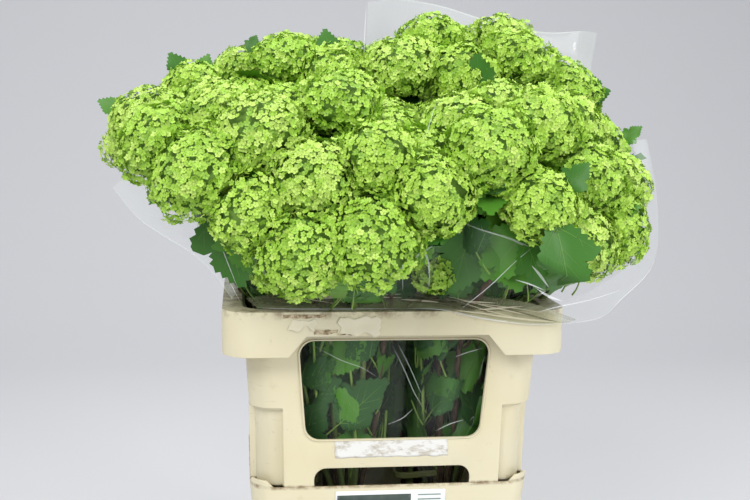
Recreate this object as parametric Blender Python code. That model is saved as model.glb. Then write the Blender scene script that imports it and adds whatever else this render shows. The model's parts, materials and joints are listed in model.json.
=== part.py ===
"""Cut snowball viburnum: five sleeved bunches of flowering stems in a flower container.

Metres, +Z up. The origin is the middle of the bucket's flat underside and the side
with the larger, lower flower heads faces -Y. Five bunches share one plan, a rounded
outline that widens with height, so nothing in one bunch meets its neighbour.
"""
import math

import bmesh
import bpy
import numpy as np
from mathutils import Matrix, Vector
from mathutils.bvhtree import BVHTree

GAP = 0.0003
SLIVER = 0.0000001

# Container: a bucket, and a collar with a window that stands on its rim
WALL = 0.003
CORNER_STEPS = 3
BUCKET_HEIGHT = 0.235
BUCKET_TOP = (0.336, 0.239)
BUCKET_BASE = (0.290, 0.193)
BUCKET_FLOOR = 0.004
BUCKET_FOOT = 0.004
BUCKET_RADIUS = 0.028
EAR_HEIGHT = 0.008

COLLAR_BOTTOM = BUCKET_HEIGHT + GAP
RIM_TOP = 0.449
COLLAR_FOOT = (0.334, 0.237)
COLLAR_STEP = (0.338, 0.241)
COLLAR_NECK = (0.354, 0.256)
COLLAR_RIM = (0.400, 0.300)
STEP_DROP = 0.118
STEP_HEIGHT = 0.005
CORNER_INSET = 0.007
SHOULDER = CORNER_INSET + 0.002
RIM_RADIUS = 0.034
BODY_RADIUS = 0.030
RIM_BEVEL = 0.003
SKIRT_DEPTH = 0.052
NOTCH_DEPTH = 0.028
NOTCH_HALF = (0.105, 0.125)
WINDOW_DROP = (0.038, 0.157)
WINDOW_HALF = (0.1125, 0.1025)
WINDOW_RADIUS = 0.017
SLOT_HALF = 0.093
SLOT_DROP = 0.192
SLOT_RADIUS = 0.014

# Plan of the bunches at each height: half sizes to the left, right, front and back
REACH_LEVELS = (
    (0.004, 0.118, 0.118, 0.076, 0.076),
    (0.200, 0.135, 0.135, 0.092, 0.092),
    (0.290, 0.152, 0.152, 0.103, 0.103),
    (0.440, 0.164, 0.164, 0.114, 0.114),
    (0.4505, 0.168, 0.168, 0.119, 0.119),
    (0.458, 0.186, 0.203, 0.150, 0.131),
    (0.480, 0.200, 0.262, 0.205, 0.150),
    (0.520, 0.225, 0.300, 0.240, 0.178),
    (0.580, 0.262, 0.308, 0.256, 0.212),
    (0.660, 0.298, 0.316, 0.262, 0.240),
    (0.760, 0.312, 0.320, 0.264, 0.250),
    (0.860, 0.318, 0.322, 0.266, 0.255),
)
# How far from the origin the middles of the outermost flower heads lie, the same way
HEAD_REACH = (0.298, 0.286, 0.248, 0.228)
CROWN_POWER = 2.6

# Each bunch: the place it grows up to, the rise of its dome over the collar, the fall of
# the dome at its edge, its droop on one side and which way that is, its flower heads and
# stems, and the height of its film over the collar at the front, the sides and the back
BUNCHES = {
    "front_left": dict(seat=(-0.105, -0.125), rise=0.232, fall=0.050, droop=0.100, way=-90,
                       heads=18, stems=13, film=(0.085, 0.130, 0.200)),
    "front_right": dict(seat=(0.175, -0.110), rise=0.228, fall=0.045, droop=0.120, way=-55,
                        heads=15, stems=10, film=(0.090, 0.150, 0.200)),
    "left": dict(seat=(-0.240, 0.060), rise=0.255, fall=0.045, droop=0.040, way=200,
                 heads=9, stems=6, film=(0.190, 0.210, 0.210)),
    "back_left": dict(seat=(-0.120, 0.130), rise=0.305, fall=0.060, droop=0.050, way=100,
                      heads=11, stems=8, film=(0.230, 0.260, 0.300)),
    "back_right": dict(seat=(0.110, 0.105), rise=0.325, fall=0.060, droop=0.060, way=20,
                       heads=16, stems=11, film=(0.260, 0.360, 0.410)),
}
NAMES = list(BUNCHES)
PLANT_SEED = 18
LEAF_SEED = 27

# Flower heads
HEAD_RADIUS = (0.035, 0.047)
HEAD_FLATTEN = 0.86
HEAD_STRAY = 0.014
HEAD_SPACING = 0.92
HEAD_SEAM = 0.15
HEAD_CLEAR = 0.0012
MOST_HEADS = 2
RELAX_ROUNDS = 160
RELAX_STEP = 0.35

# Stems, their tie and the twigs that carry the heads
STEM_RADIUS = (0.0040, 0.0032)
TWIG_RADIUS = 0.0026
STEM_SIDES = 3
TWIG_SIDES = 3
STEM_FLOOR = BUCKET_FLOOR + GAP
TIE_HEIGHT = (0.192, 0.206)
TIE_SPREAD = 0.52
TIE_BULGE = 0.007
STEM_SPREAD = ((0.004, 0.55), (0.186, 0.29), (0.212, 0.29), (0.30, 0.58), (0.44, 0.74), (0.86, 0.86))
STEM_WAIST = (0.186, 0.212)
STEM_BEND = 0.30
STEM_LEVELS = (0.446,)
LEAST_SEGMENT = 0.02
TWIG_BEND = 0.006
FOOT_DROP = 0.135
LOWEST_FOOT = 0.452
FORK_SHARE = 0.40

# Film sleeves: the foot rests on the tie, and the neck is where the film starts to flare
SLEEVE_FOOT = TIE_HEIGHT[1] + 3 * GAP
SLEEVE_FOOT_SPREAD = TIE_SPREAD - 0.02
SLEEVE_NECK = TIE_HEIGHT[1] + 0.02
SLEEVE_NECK_SPREAD = 0.66
FILM = 0.0008
FILM_SIDES = 15
FILM_SEAM = 0.035
FILM_LEVELS = (2, 4, 5)
FILM_RISE_STEPS = (0.22, 0.55, 1.0)
FILM_LOW = 0.475
FILM_STEP = 0.004
FILM_CLEAR = 0.016

# Leaves on the twigs of each mass and on the stems of each bunch
MASS_LEAVES = 3
MASS_LEAF_LENGTH = (0.055, 0.085)
BUNCH_LEAVES = 6
BUNCH_LEAF_LENGTH = (0.060, 0.090)
LEAF_THICKNESS = 0.0016
LEAF_CLEAR = 1.06
LEAF_TRIES = 4
LEAF_OUTLINE = ((0.0, 0.0), (0.42, 0.36), (0.62, 0.20), (1.0, 0.0), (0.62, -0.20), (0.42, -0.36))

CREAM = (0.80, 0.70, 0.48, 1.0)
LIME = (0.36, 0.58, 0.07, 1.0)
LEAF_GREEN = (0.06, 0.20, 0.03, 1.0)
WOOD = (0.20, 0.12, 0.06, 1.0)
CLEAR = (0.85, 0.88, 0.88, 0.30)


def material(name, colour, roughness):
    made = bpy.data.materials.new(name)
    made.use_nodes = True
    shader = made.node_tree.nodes["Principled BSDF"]
    shader.inputs["Base Color"].default_value = colour
    shader.inputs["Roughness"].default_value = roughness
    shader.inputs["Metallic"].default_value = 0.0
    shader.inputs["Alpha"].default_value = colour[3]
    return made


def add_object(name, vertices, faces, surface=None):
    mesh = bpy.data.meshes.new(name)
    mesh.from_pydata([tuple(v) for v in vertices], [], faces)
    mesh.update()
    made = bpy.data.objects.new(name, mesh)
    bpy.context.scene.collection.objects.link(made)
    if surface:
        mesh.materials.append(surface)
    return made


def smooth(made, degrees=40):
    made.data.shade_smooth()
    made.data.set_sharp_from_angle(angle=math.radians(degrees))


# The container

def rounded_outline(width, depth, radius, inset=0.0, shoulder=SHOULDER):
    """A rounded rectangle whose corners can be set in from its four flat sides.

    The shoulder is how far before the corner's arc the flat side ends.
    """
    points = []
    for turn, (side_x, side_y) in enumerate(((1, -1), (1, 1), (-1, 1), (-1, -1))):
        centre = Vector((side_x * (width / 2 - radius), side_y * (depth / 2 - radius)))
        start = math.radians(90 * turn - 90)
        arc = []
        for step in range(CORNER_STEPS + 1):
            angle = start + math.radians(90) * step / CORNER_STEPS
            arc.append(centre + Vector((math.cos(angle), math.sin(angle))) * radius)
        inward = Vector((side_x, side_y)) * inset
        along_in = Vector((math.sin(start), -math.cos(start))) * shoulder
        end = start + math.radians(90)
        along_out = Vector((-math.sin(end), math.cos(end))) * shoulder
        points.append(arc[0] + along_in)
        points += [point - inward for point in arc]
        points.append(arc[-1] + along_out)
    return points


def corner_lift(count, height):
    """Extra height of the points on the corners of a rounded outline."""
    per_corner = count // 4
    lifts = []
    for index in range(count):
        step = index % per_corner
        on_arc = 1 < step < per_corner - 2
        lifts.append(height if on_arc else 0.0)
    return lifts


def loft(name, rings, surface, closed_loop):
    """Skin a stack of rings, as a tube closed on itself or capped at both ends."""
    sides = len(rings[0])
    vertices = [point for ring in rings for point in ring]
    faces = []
    last = len(rings) if closed_loop else len(rings) - 1
    for row in range(last):
        following = (row + 1) % len(rings)
        for side in range(sides):
            beside = (side + 1) % sides
            faces.append((row * sides + side, row * sides + beside,
                          following * sides + beside, following * sides + side))
    if not closed_loop:
        faces.append(tuple(reversed(range(sides))))
        faces.append(tuple((len(rings) - 1) * sides + side for side in range(sides)))
    return add_object(name, vertices, faces, surface)


def level_ring(size, radius, z, inset=0.0, lift=0.0, shoulder=SHOULDER):
    outline = rounded_outline(size[0], size[1], radius, inset, shoulder)
    lifts = corner_lift(len(outline), lift)
    return [(point.x, point.y, z + more) for point, more in zip(outline, lifts)]


def grown(size, amount):
    return (size[0] + 2 * amount, size[1] + 2 * amount)


def make_bucket(surface):
    foot = grown(BUCKET_BASE, -BUCKET_FOOT)
    rings = [
        level_ring(foot, BUCKET_RADIUS - BUCKET_FOOT, 0.0),
        level_ring(BUCKET_BASE, BUCKET_RADIUS, BUCKET_FOOT),
        level_ring(BUCKET_TOP, BUCKET_RADIUS, BUCKET_HEIGHT, lift=EAR_HEIGHT),
        level_ring(grown(BUCKET_TOP, -WALL), BUCKET_RADIUS - WALL, BUCKET_HEIGHT, lift=EAR_HEIGHT),
        level_ring(grown(BUCKET_BASE, -WALL), BUCKET_RADIUS - WALL, BUCKET_FLOOR),
    ]
    bucket = loft("bucket", rings, surface, closed_loop=False)
    smooth(bucket, 35)
    return bucket


def rounded_corner(corner, before, after, radius, steps=3):
    """Points that round one corner of an outline in the X-Z plane."""
    to_before = (before - corner).normalized()
    to_after = (after - corner).normalized()
    half = to_before.angle(to_after) / 2
    reach = radius / math.tan(half)
    middle = corner + (to_before + to_after).normalized() * (radius / math.sin(half))
    first = (corner + to_before * reach - middle).normalized()
    last = (corner + to_after * reach - middle).normalized()
    return [middle + first.slerp(last, step / steps) * radius for step in range(steps + 1)]


def side_cutter(name, outline, near, far):
    """A cutter that runs along Y, from its outline's points in X and Z."""
    count = len(outline)
    vertices = [(x, near, z) for x, z in outline] + [(x, far, z) for x, z in outline]
    faces = [tuple(range(count)), tuple(reversed(range(count, 2 * count)))]
    for side in range(count):
        beside = (side + 1) % count
        faces.append((side, side + count, beside + count, beside))
    cutter = add_object(name, vertices, faces)
    work = bmesh.new()
    work.from_mesh(cutter.data)
    bmesh.ops.recalc_face_normals(work, faces=work.faces)
    work.to_mesh(cutter.data)
    work.free()
    cutter.hide_render = True
    cutter.display_type = "WIRE"
    return cutter


def window_outline():
    top = RIM_TOP - WINDOW_DROP[0]
    low = RIM_TOP - WINDOW_DROP[1]
    corners = [Vector((-WINDOW_HALF[1], low)), Vector((WINDOW_HALF[1], low)),
               Vector((WINDOW_HALF[0], top)), Vector((-WINDOW_HALF[0], top))]
    points = []
    for index, corner in enumerate(corners):
        points += rounded_corner(corner, corners[index - 1], corners[(index + 1) % 4], WINDOW_RADIUS)
    return points


def slot_outline():
    top = RIM_TOP - SLOT_DROP
    below = COLLAR_BOTTOM - 0.01
    corners = [Vector((-SLOT_HALF, below)), Vector((SLOT_HALF, below)),
               Vector((SLOT_HALF, top)), Vector((-SLOT_HALF, top))]
    right = rounded_corner(corners[2], corners[1], corners[3], SLOT_RADIUS)
    left = rounded_corner(corners[3], corners[2], corners[0], SLOT_RADIUS)
    return corners[:2] + right + left


def notch_outline():
    top = RIM_TOP - NOTCH_DEPTH
    below = RIM_TOP - SKIRT_DEPTH - 0.01
    edge = RIM_TOP - SKIRT_DEPTH
    return [(-NOTCH_HALF[1], below), (NOTCH_HALF[1], below), (NOTCH_HALF[1], edge),
            (NOTCH_HALF[0], top), (-NOTCH_HALF[0], top), (-NOTCH_HALF[1], edge)]


def make_collar(surface):
    step_low = RIM_TOP - STEP_DROP - STEP_HEIGHT
    step_high = RIM_TOP - STEP_DROP
    skirt_low = RIM_TOP - SKIRT_DEPTH
    under = RIM_TOP - WALL
    inner = BODY_RADIUS - WALL
    inner_shoulder = SHOULDER + WALL
    rings = [
        level_ring(COLLAR_FOOT, BODY_RADIUS, COLLAR_BOTTOM, CORNER_INSET),
        level_ring(COLLAR_STEP, BODY_RADIUS, step_low, CORNER_INSET),
        level_ring(COLLAR_STEP, BODY_RADIUS, step_high),
        level_ring(COLLAR_NECK, BODY_RADIUS, under),
        level_ring(grown(COLLAR_RIM, -WALL), RIM_RADIUS - WALL, under),
        level_ring(grown(COLLAR_RIM, -WALL), RIM_RADIUS - WALL, skirt_low),
        level_ring(COLLAR_RIM, RIM_RADIUS, skirt_low),
        level_ring(COLLAR_RIM, RIM_RADIUS, RIM_TOP - RIM_BEVEL),
        level_ring(grown(COLLAR_RIM, -RIM_BEVEL), RIM_RADIUS - RIM_BEVEL, RIM_TOP),
        level_ring(COLLAR_NECK, BODY_RADIUS, RIM_TOP),
        level_ring(grown(COLLAR_NECK, -WALL), inner, under, shoulder=inner_shoulder),
        level_ring(grown(COLLAR_STEP, -WALL), inner, step_high, shoulder=inner_shoulder),
        level_ring(grown(COLLAR_STEP, -WALL), inner, step_low, CORNER_INSET, shoulder=inner_shoulder),
        level_ring(grown(COLLAR_FOOT, -WALL), inner, COLLAR_BOTTOM, CORNER_INSET, shoulder=inner_shoulder),
    ]
    collar = loft("collar", rings, surface, closed_loop=True)
    skirt_face = COLLAR_RIM[1] / 2
    wall_face = COLLAR_NECK[1] / 2
    deep = COLLAR_FOOT[1] / 2 - 0.02
    cuts = {
        "notch": (notch_outline(), skirt_face + 0.01, wall_face + 0.005),
        "window": (window_outline(), skirt_face - 0.006, deep),
        "slot": (slot_outline(), skirt_face - 0.006, deep),
    }
    for label, (outline, outside, inside) in cuts.items():
        for side, sign in (("front", -1), ("back", 1)):
            cutter = side_cutter(f"{label}_{side}_cutter", outline, sign * outside, sign * inside)
            cut = collar.modifiers.new(f"{label}_{side}", "BOOLEAN")
            cut.operation = "DIFFERENCE"
            cut.object = cutter
    smooth(collar, 35)
    return collar


# The plan that the five bunches share

def plan_point(point, reach):
    """A real place in plan, as a place in the unit plan."""
    left, right, front, back = reach
    u = point[..., 0] / np.where(point[..., 0] < 0, left, right)
    v = point[..., 1] / np.where(point[..., 1] < 0, front, back)
    return np.stack([u, v], -1)


def real_point(unit, reach):
    """A place in the unit plan, as a real place."""
    left, right, front, back = reach
    x = unit[..., 0] * np.where(unit[..., 0] < 0, left, right)
    y = unit[..., 1] * np.where(unit[..., 1] < 0, front, back)
    return np.stack([x, y], -1)


def reach_at(z):
    table = np.array(REACH_LEVELS)
    return [np.interp(z, table[:, 0], table[:, column]) for column in range(1, 5)]


SEEDS = np.array([plan_point(np.array(bunch["seat"]), HEAD_REACH) for bunch in BUNCHES.values()])


def crown_norm(unit):
    """0 in the middle of the plan and 1 on its outer edge."""
    powers = np.abs(unit[..., 0]) ** CROWN_POWER + np.abs(unit[..., 1]) ** CROWN_POWER
    return powers ** (1 / CROWN_POWER)


def cell_radius(index, angle, seam, sharpness=8.0):
    """How far a bunch's share of the unit plan reaches from its seed."""
    ray = np.stack([np.cos(angle), np.sin(angle)], -1)
    seed = SEEDS[index]
    low = np.zeros(angle.shape)
    high = np.full(angle.shape, 3.0)
    for _ in range(40):
        middle = (low + high) / 2
        inside = crown_norm(seed + ray * middle[..., None]) < 1
        low = np.where(inside, middle, low)
        high = np.where(inside, high, middle)
    total = low ** -sharpness
    for other in range(len(SEEDS)):
        if other != index:
            between = SEEDS[other] - seed
            length = np.hypot(*between)
            facing = np.maximum(ray @ between / length, 1e-3)
            total = total + ((length - seam) / 2 / facing) ** -sharpness
    return total ** (-1 / sharpness)


# Flower heads

def dome_height(index, unit):
    """Height over the floor of the middle of a flower head."""
    bunch = BUNCHES[NAMES[index]]
    offset = unit - SEEDS[index]
    angle = np.arctan2(offset[..., 1], offset[..., 0])
    share = np.hypot(offset[..., 0], offset[..., 1]) / cell_radius(index, angle, 0.0)
    facing = np.clip(np.cos(angle - math.radians(bunch["way"])), 0, 1) ** 2
    droop = bunch["droop"] * facing * share ** 3
    return RIM_TOP + bunch["rise"] - bunch["fall"] * share ** 2 - droop


def lift_heads(owner, unit, stray):
    centre = np.zeros((len(owner), 3))
    centre[:, :2] = real_point(unit, HEAD_REACH)
    for index in range(len(SEEDS)):
        mine = owner == index
        centre[mine, 2] = dome_height(index, unit[mine]) + stray[mine]
    return centre


def keep_in_cell(owner, unit):
    for index in range(len(SEEDS)):
        mine = owner == index
        offset = unit[mine] - SEEDS[index]
        length = np.hypot(offset[:, 0], offset[:, 1])
        limit = cell_radius(index, np.arctan2(offset[:, 1], offset[:, 0]), HEAD_SEAM, 16.0)
        share = np.minimum(length, limit) / np.maximum(length, 1e-9)
        unit[mine] = SEEDS[index] + offset * share[:, None]
    return unit


def place_heads():
    """Spread each bunch's heads in a spiral, then let them push each other apart."""
    draw = np.random.default_rng(PLANT_SEED)
    golden = math.pi * (3 - math.sqrt(5))
    owner = np.repeat(np.arange(len(NAMES)), [bunch["heads"] for bunch in BUNCHES.values()])
    unit = []
    for index, bunch in enumerate(BUNCHES.values()):
        order = np.arange(bunch["heads"]) + 0.5
        angle = order * golden + index
        reach = cell_radius(index, angle, HEAD_SEAM) * np.sqrt(order / bunch["heads"])
        unit.append(SEEDS[index] + np.stack([np.cos(angle), np.sin(angle)], -1) * reach[:, None])
    unit = np.concatenate(unit)
    radius = draw.uniform(*HEAD_RADIUS, len(owner))
    stray = draw.uniform(-HEAD_STRAY, HEAD_STRAY, len(owner))
    apart = 1 - np.eye(len(owner))
    for _ in range(RELAX_ROUNDS):
        centre = lift_heads(owner, unit, stray)
        between = centre[:, None] - centre[None]
        distance = np.linalg.norm(between, axis=-1) + np.eye(len(owner))
        wanted = (radius[:, None] + radius[None]) * HEAD_SPACING
        push = np.clip(wanted - distance, 0, None) * apart
        step = (between / distance[..., None] * push[..., None]).sum(1) * RELAX_STEP
        unit = keep_in_cell(owner, plan_point(centre[:, :2] + step[:, :2], HEAD_REACH))
    return owner, unit, lift_heads(owner, unit, stray), radius


def group_heads(owner, centre, radius):
    """Share out each bunch's heads to its stems, the closest ones together."""
    groups = [[head] for head in range(len(owner))]
    for index, bunch in enumerate(BUNCHES.values()):
        while sum(owner[group[0]] == index for group in groups) > bunch["stems"]:
            best = None
            mine = [group for group in groups if owner[group[0]] == index]
            for first in range(len(mine)):
                for second in range(first + 1, len(mine)):
                    heads = mine[first] + mine[second]
                    if len(heads) > MOST_HEADS:
                        continue
                    spread = np.ptp(centre[heads], axis=0)
                    size = np.linalg.norm(spread) / radius[heads].mean()
                    if best is None or size < best[0]:
                        best = (size, mine[first], mine[second])
            groups.remove(best[2])
            best[1].extend(best[2])
    return groups


def solid_radii(groups, centre, radius):
    """Radii that leave the heads of different stems clear of each other."""
    group_of = np.zeros(len(radius), int)
    for number, group in enumerate(groups):
        group_of[group] = number
    distance = np.linalg.norm(centre[:, None] - centre[None], axis=-1)
    other = group_of[:, None] != group_of[None]
    room = (distance - HEAD_CLEAR) / (radius[:, None] + radius[None])
    return radius * np.minimum(1, np.where(other, room, 1).min(1))


def frame_on(direction):
    """A turn whose Z axis points along the direction."""
    return Vector(direction).to_track_quat("Z", "Y").to_matrix().to_4x4()


def head_piece(centre, radius, outward):
    """A slightly flattened ball of blossom."""
    work = bmesh.new()
    bmesh.ops.create_icosphere(work, subdivisions=1, radius=radius)
    flatten = Matrix.Diagonal((1, 1, HEAD_FLATTEN, 1))
    bmesh.ops.transform(work, matrix=Matrix.Translation(centre) @ frame_on(outward) @ flatten,
                        verts=work.verts)
    return mesh_lists(work)


def mesh_lists(work):
    work.verts.index_update()
    vertices = [vertex.co.copy() for vertex in work.verts]
    faces = [tuple(vertex.index for vertex in face.verts) for face in work.faces]
    work.free()
    return vertices, faces


# Stems and twigs

def stem_point(index, aim, z):
    """Where the stem that is bound for a place in the unit plan crosses a height."""
    heights, spreads = zip(*STEM_SPREAD)
    spread = np.interp(z, heights, spreads)
    unit = SEEDS[index] + (aim - SEEDS[index]) * spread
    x, y = real_point(unit, reach_at(z))
    return Vector((x, y, z))


def tube_piece(points, radii, sides, foot_way=None):
    """A round bar through the points, with flat ends, the first square to foot_way.

    Every ring starts on the same side of the bar, so its sides don't twist.
    """
    run = (points[-1] - points[0]).normalized()
    level = Vector((1, 0, 0)) if abs(run.x) < abs(run.y) else Vector((0, 1, 0))
    vertices, faces = [], []
    for number, point in enumerate(points):
        before = points[max(number - 1, 0)]
        after = points[min(number + 1, len(points) - 1)]
        way = foot_way if foot_way and number == 0 else (after - before).normalized()
        second = way.cross(level).normalized()
        first = second.cross(way)
        for side in range(sides):
            angle = 2 * math.pi * side / sides
            ring = first * math.cos(angle) + second * math.sin(angle)
            vertices.append(point + ring * radii[number])
    for row in range(len(points) - 1):
        for side in range(sides):
            beside = (side + 1) % sides
            faces.append((row * sides + side, row * sides + beside,
                          (row + 1) * sides + beside, (row + 1) * sides + side))
    faces.append(tuple(reversed(range(sides))))
    faces.append(tuple((len(points) - 1) * sides + side for side in range(sides)))
    return vertices, faces


def leaf_piece(base, along, up, length):
    """A three-lobed blade, thickest in its middle, that starts inside its twig."""
    along = along.normalized()
    side = along.cross(up).normalized()
    face = side.cross(along).normalized()
    vertices = []
    for forward, across in LEAF_OUTLINE:
        droop = 0.16 * forward ** 2 + 0.35 * abs(across) ** 1.5
        vertices.append(base + along * forward * length + side * across * length - face * droop * length)
    middle = base + along * 0.5 * length - face * 0.05 * length
    vertices += [middle + face * LEAF_THICKNESS, middle - face * LEAF_THICKNESS]
    count = len(LEAF_OUTLINE)
    faces = []
    for number in range(count):
        beside = (number + 1) % count
        faces.append((number, beside, count))
        faces.append((beside, number, count + 1))
    return vertices, faces


def tie_piece(index):
    """The band that holds a bunch together, with the stems running through it."""
    rings = [film_ring(index, z, TIE_SPREAD) for z in TIE_HEIGHT]
    count = len(rings[0])
    middles = [sum(ring, Vector()) / count + Vector((0, 0, bulge))
               for ring, bulge in zip(rings, (-TIE_BULGE, TIE_BULGE))]
    vertices = rings[0] + rings[1] + middles
    faces = []
    for side in range(count):
        beside = (side + 1) % count
        faces.append((side, beside, beside + count, side + count))
        faces.append((beside, side, 2 * count))
        faces.append((side + count, beside + count, 2 * count + 1))
    return vertices, faces


# Film sleeves

def film_ring(index, heights, spread):
    """One ring of a sleeve, at one height or at one height for each side."""
    angle = np.arange(FILM_SIDES) * 2 * math.pi / FILM_SIDES
    ray = np.stack([np.cos(angle), np.sin(angle)], -1)
    radius = cell_radius(index, angle, FILM_SEAM)[:, None]
    heights = np.broadcast_to(heights, (FILM_SIDES,))
    points = []
    for side in range(FILM_SIDES):
        x, y = real_point(SEEDS[index] + ray[side] * radius[side] * spread, reach_at(heights[side]))
        points.append(Vector((x, y, heights[side])))
    return points


def film_tops(index, places, sizes):
    """The height of a sleeve's edge: it stops where a head or twig leans over it."""
    bunch = BUNCHES[NAMES[index]]
    front, beside, back = bunch["film"]
    tops = []
    for side in range(FILM_SIDES):
        angle = 2 * math.pi * side / FILM_SIDES
        facing = math.sin(angle)
        wanted = beside + (back - beside) * max(facing, 0) + (front - beside) * max(-facing, 0)
        top = FILM_LOW
        while top < RIM_TOP + wanted:
            point = film_ring(index, top, 1.0)[side]
            distance = np.linalg.norm(places - np.array(point), axis=1)
            if (distance < sizes + FILM_CLEAR).any():
                break
            top += FILM_STEP
        tops.append(top)
    return np.array(tops)


def make_sleeve(index, surface, places, sizes):
    tops = film_tops(index, places, sizes)
    start = REACH_LEVELS[FILM_LEVELS[-1]][0]
    rows = [(SLEEVE_FOOT, SLEEVE_FOOT_SPREAD), (SLEEVE_NECK, SLEEVE_NECK_SPREAD)]
    rows += [(REACH_LEVELS[row][0], 1.0) for row in FILM_LEVELS]
    rows += [(start + (tops - start) * share, 1.0) for share in FILM_RISE_STEPS]
    outer = [point for z, spread in rows for point in film_ring(index, z, spread)]
    sheet = sheet_triangles(len(rows))
    inner = [point - normal * FILM for point, normal in zip(outer, corner_normals(outer, sheet))]
    count = len(outer)
    faces = sheet + [tuple(count + corner for corner in reversed(face)) for face in sheet]
    for side in range(FILM_SIDES):
        beside = (side + 1) % FILM_SIDES
        edge, edge_beside = count - FILM_SIDES + side, count - FILM_SIDES + beside
        faces.append((beside, side, count + side, count + beside))
        faces.append((edge, edge_beside, count + edge_beside, count + edge))
    sleeve = add_object(f"film_sleeve_{NAMES[index]}", outer + inner, faces, surface)
    smooth(sleeve, 60)
    return sleeve


def sheet_triangles(rows):
    """The triangles between a sleeve's rings, with all their diagonals leaning one way."""
    triangles = []
    for row in range(rows - 1):
        for side in range(FILM_SIDES):
            low = row * FILM_SIDES + side
            low_beside = row * FILM_SIDES + (side + 1) % FILM_SIDES
            triangles.append((low, low_beside, low_beside + FILM_SIDES))
            triangles.append((low, low_beside + FILM_SIDES, low + FILM_SIDES))
    return triangles


def corner_normals(points, triangles):
    """The direction square to a sheet at each of its points."""
    normals = [Vector() for _ in points]
    for first, second, third in triangles:
        across = (points[second] - points[first]).cross(points[third] - points[first])
        for corner in (first, second, third):
            normals[corner] += across
    return [normal.normalized() for normal in normals]


# Joining

def drop_flaps(work):
    """Delete each pair of triangles that lie back to back on the same three corners."""
    first_of = {}
    flaps = []
    for face in work.faces:
        corners = frozenset(vertex.index for vertex in face.verts)
        if corners in first_of:
            flaps += [first_of[corners], face]
        first_of[corners] = face
    bmesh.ops.delete(work, geom=flaps, context="FACES")


def largest_body(mesh):
    """Keep the largest connected body of a mesh, with its faces pointing out."""
    work = bmesh.new()
    work.from_mesh(mesh)
    for _ in range(2):
        bmesh.ops.dissolve_degenerate(work, edges=work.edges, dist=SLIVER)
        bmesh.ops.triangulate(work, faces=work.faces)
        drop_flaps(work)
    unseen = set(work.faces)
    bodies = []
    while unseen:
        seed = unseen.pop()
        body, edge_of_search = {seed}, [seed]
        while edge_of_search:
            face = edge_of_search.pop()
            for edge in face.edges:
                for linked in edge.link_faces:
                    if linked in unseen:
                        unseen.remove(linked)
                        body.add(linked)
                        edge_of_search.append(linked)
        bodies.append(body)
    bodies.sort(key=lambda body: sum(face.calc_area() for face in body))
    for body in bodies[:-1]:
        bmesh.ops.delete(work, geom=list(body), context="FACES")
    loose = [vertex for vertex in work.verts if not vertex.link_faces]
    bmesh.ops.delete(work, geom=loose, context="VERTS")
    work.to_mesh(mesh)
    work.free()


def fuse(name, pieces, surfaces):
    """Join pieces, each with the number of its material, into one closed solid."""
    helpers = bpy.data.collections.new(name + "_pieces")
    bpy.context.scene.collection.children.link(helpers)
    objects = []
    for number, ((vertices, faces), slot) in enumerate(pieces):
        piece = add_object(f"{name}_piece_{number}", vertices, faces)
        for surface in surfaces:
            piece.data.materials.append(surface)
        for polygon in piece.data.polygons:
            polygon.material_index = slot
        if number:
            bpy.context.scene.collection.objects.unlink(piece)
            helpers.objects.link(piece)
        objects.append(piece)
    union = objects[0].modifiers.new("union", "BOOLEAN")
    union.operation = "UNION"
    union.operand_type = "COLLECTION"
    union.collection = helpers
    union.solver = "MANIFOLD"
    evaluated = objects[0].evaluated_get(bpy.context.evaluated_depsgraph_get())
    mesh = bpy.data.meshes.new_from_object(evaluated)
    for piece in objects:
        bpy.data.objects.remove(piece)
    bpy.data.collections.remove(helpers)
    largest_body(mesh)
    mesh.name = name
    made = bpy.data.objects.new(name, mesh)
    bpy.context.scene.collection.objects.link(made)
    smooth(made, 50)
    return made


# Growing the plant

def touches(tree, obstacles):
    return any(tree.overlap(other) for other in obstacles)


def enlarged(piece, factor):
    """The piece's triangles, grown about its middle, to test the room round it."""
    vertices, faces = piece
    middle = sum(vertices, Vector()) / len(vertices)
    return BVHTree.FromPolygons([middle + (v - middle) * factor for v in vertices], faces)


def grow_leaves(draw, spine, count, lengths, obstacles, upward):
    """Leaves in pairs along a line of points; one that would touch anything is skipped."""
    leaves = []
    for number in range(count):
        for _ in range(LEAF_TRIES):
            place = draw.uniform(0.15, 0.95) * (len(spine) - 1)
            step = min(int(place), len(spine) - 2)
            base = spine[step].lerp(spine[step + 1], place - step)
            direction = (spine[step + 1] - spine[step]).normalized()
            turn = draw.uniform(0, 2 * math.pi)
            side = frame_on(direction) @ Vector((math.cos(turn), math.sin(turn), 0))
            along = side + direction * draw.uniform(0.1, 1.1) + Vector((0, 0, upward))
            leaf = leaf_piece(base, along, direction + Vector((0, 0, 1)), draw.uniform(*lengths))
            grown_leaf = enlarged(leaf, LEAF_CLEAR)
            if not touches(grown_leaf, obstacles):
                leaves.append(leaf)
                obstacles.append(grown_leaf)
                break
    return leaves


def tree_of(piece):
    return BVHTree.FromPolygons(*piece)


def tree_of_object(made):
    corners = [vertex.co for vertex in made.data.vertices]
    return BVHTree.FromPolygons(corners, [tuple(face.vertices) for face in made.data.polygons])


def plan_shoots(owner, unit, centre, groups):
    """For each group of heads: its bunch, its aim in the plan and the foot of its twigs."""
    shoots = []
    for group in groups:
        index = owner[group[0]]
        aim = unit[group].mean(0)
        foot_z = max(centre[group, 2].mean() - FOOT_DROP, LOWEST_FOOT)
        shoots.append((index, aim, stem_point(index, aim, foot_z), group))
    return shoots


def levels_below(foot):
    """The heights that a stem passes before its foot in the crown."""
    rising = [z for z in STEM_LEVELS if z < foot.z - LEAST_SEGMENT]
    return [STEM_FLOOR, *STEM_WAIST, STEM_BEND, *rising]


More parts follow.
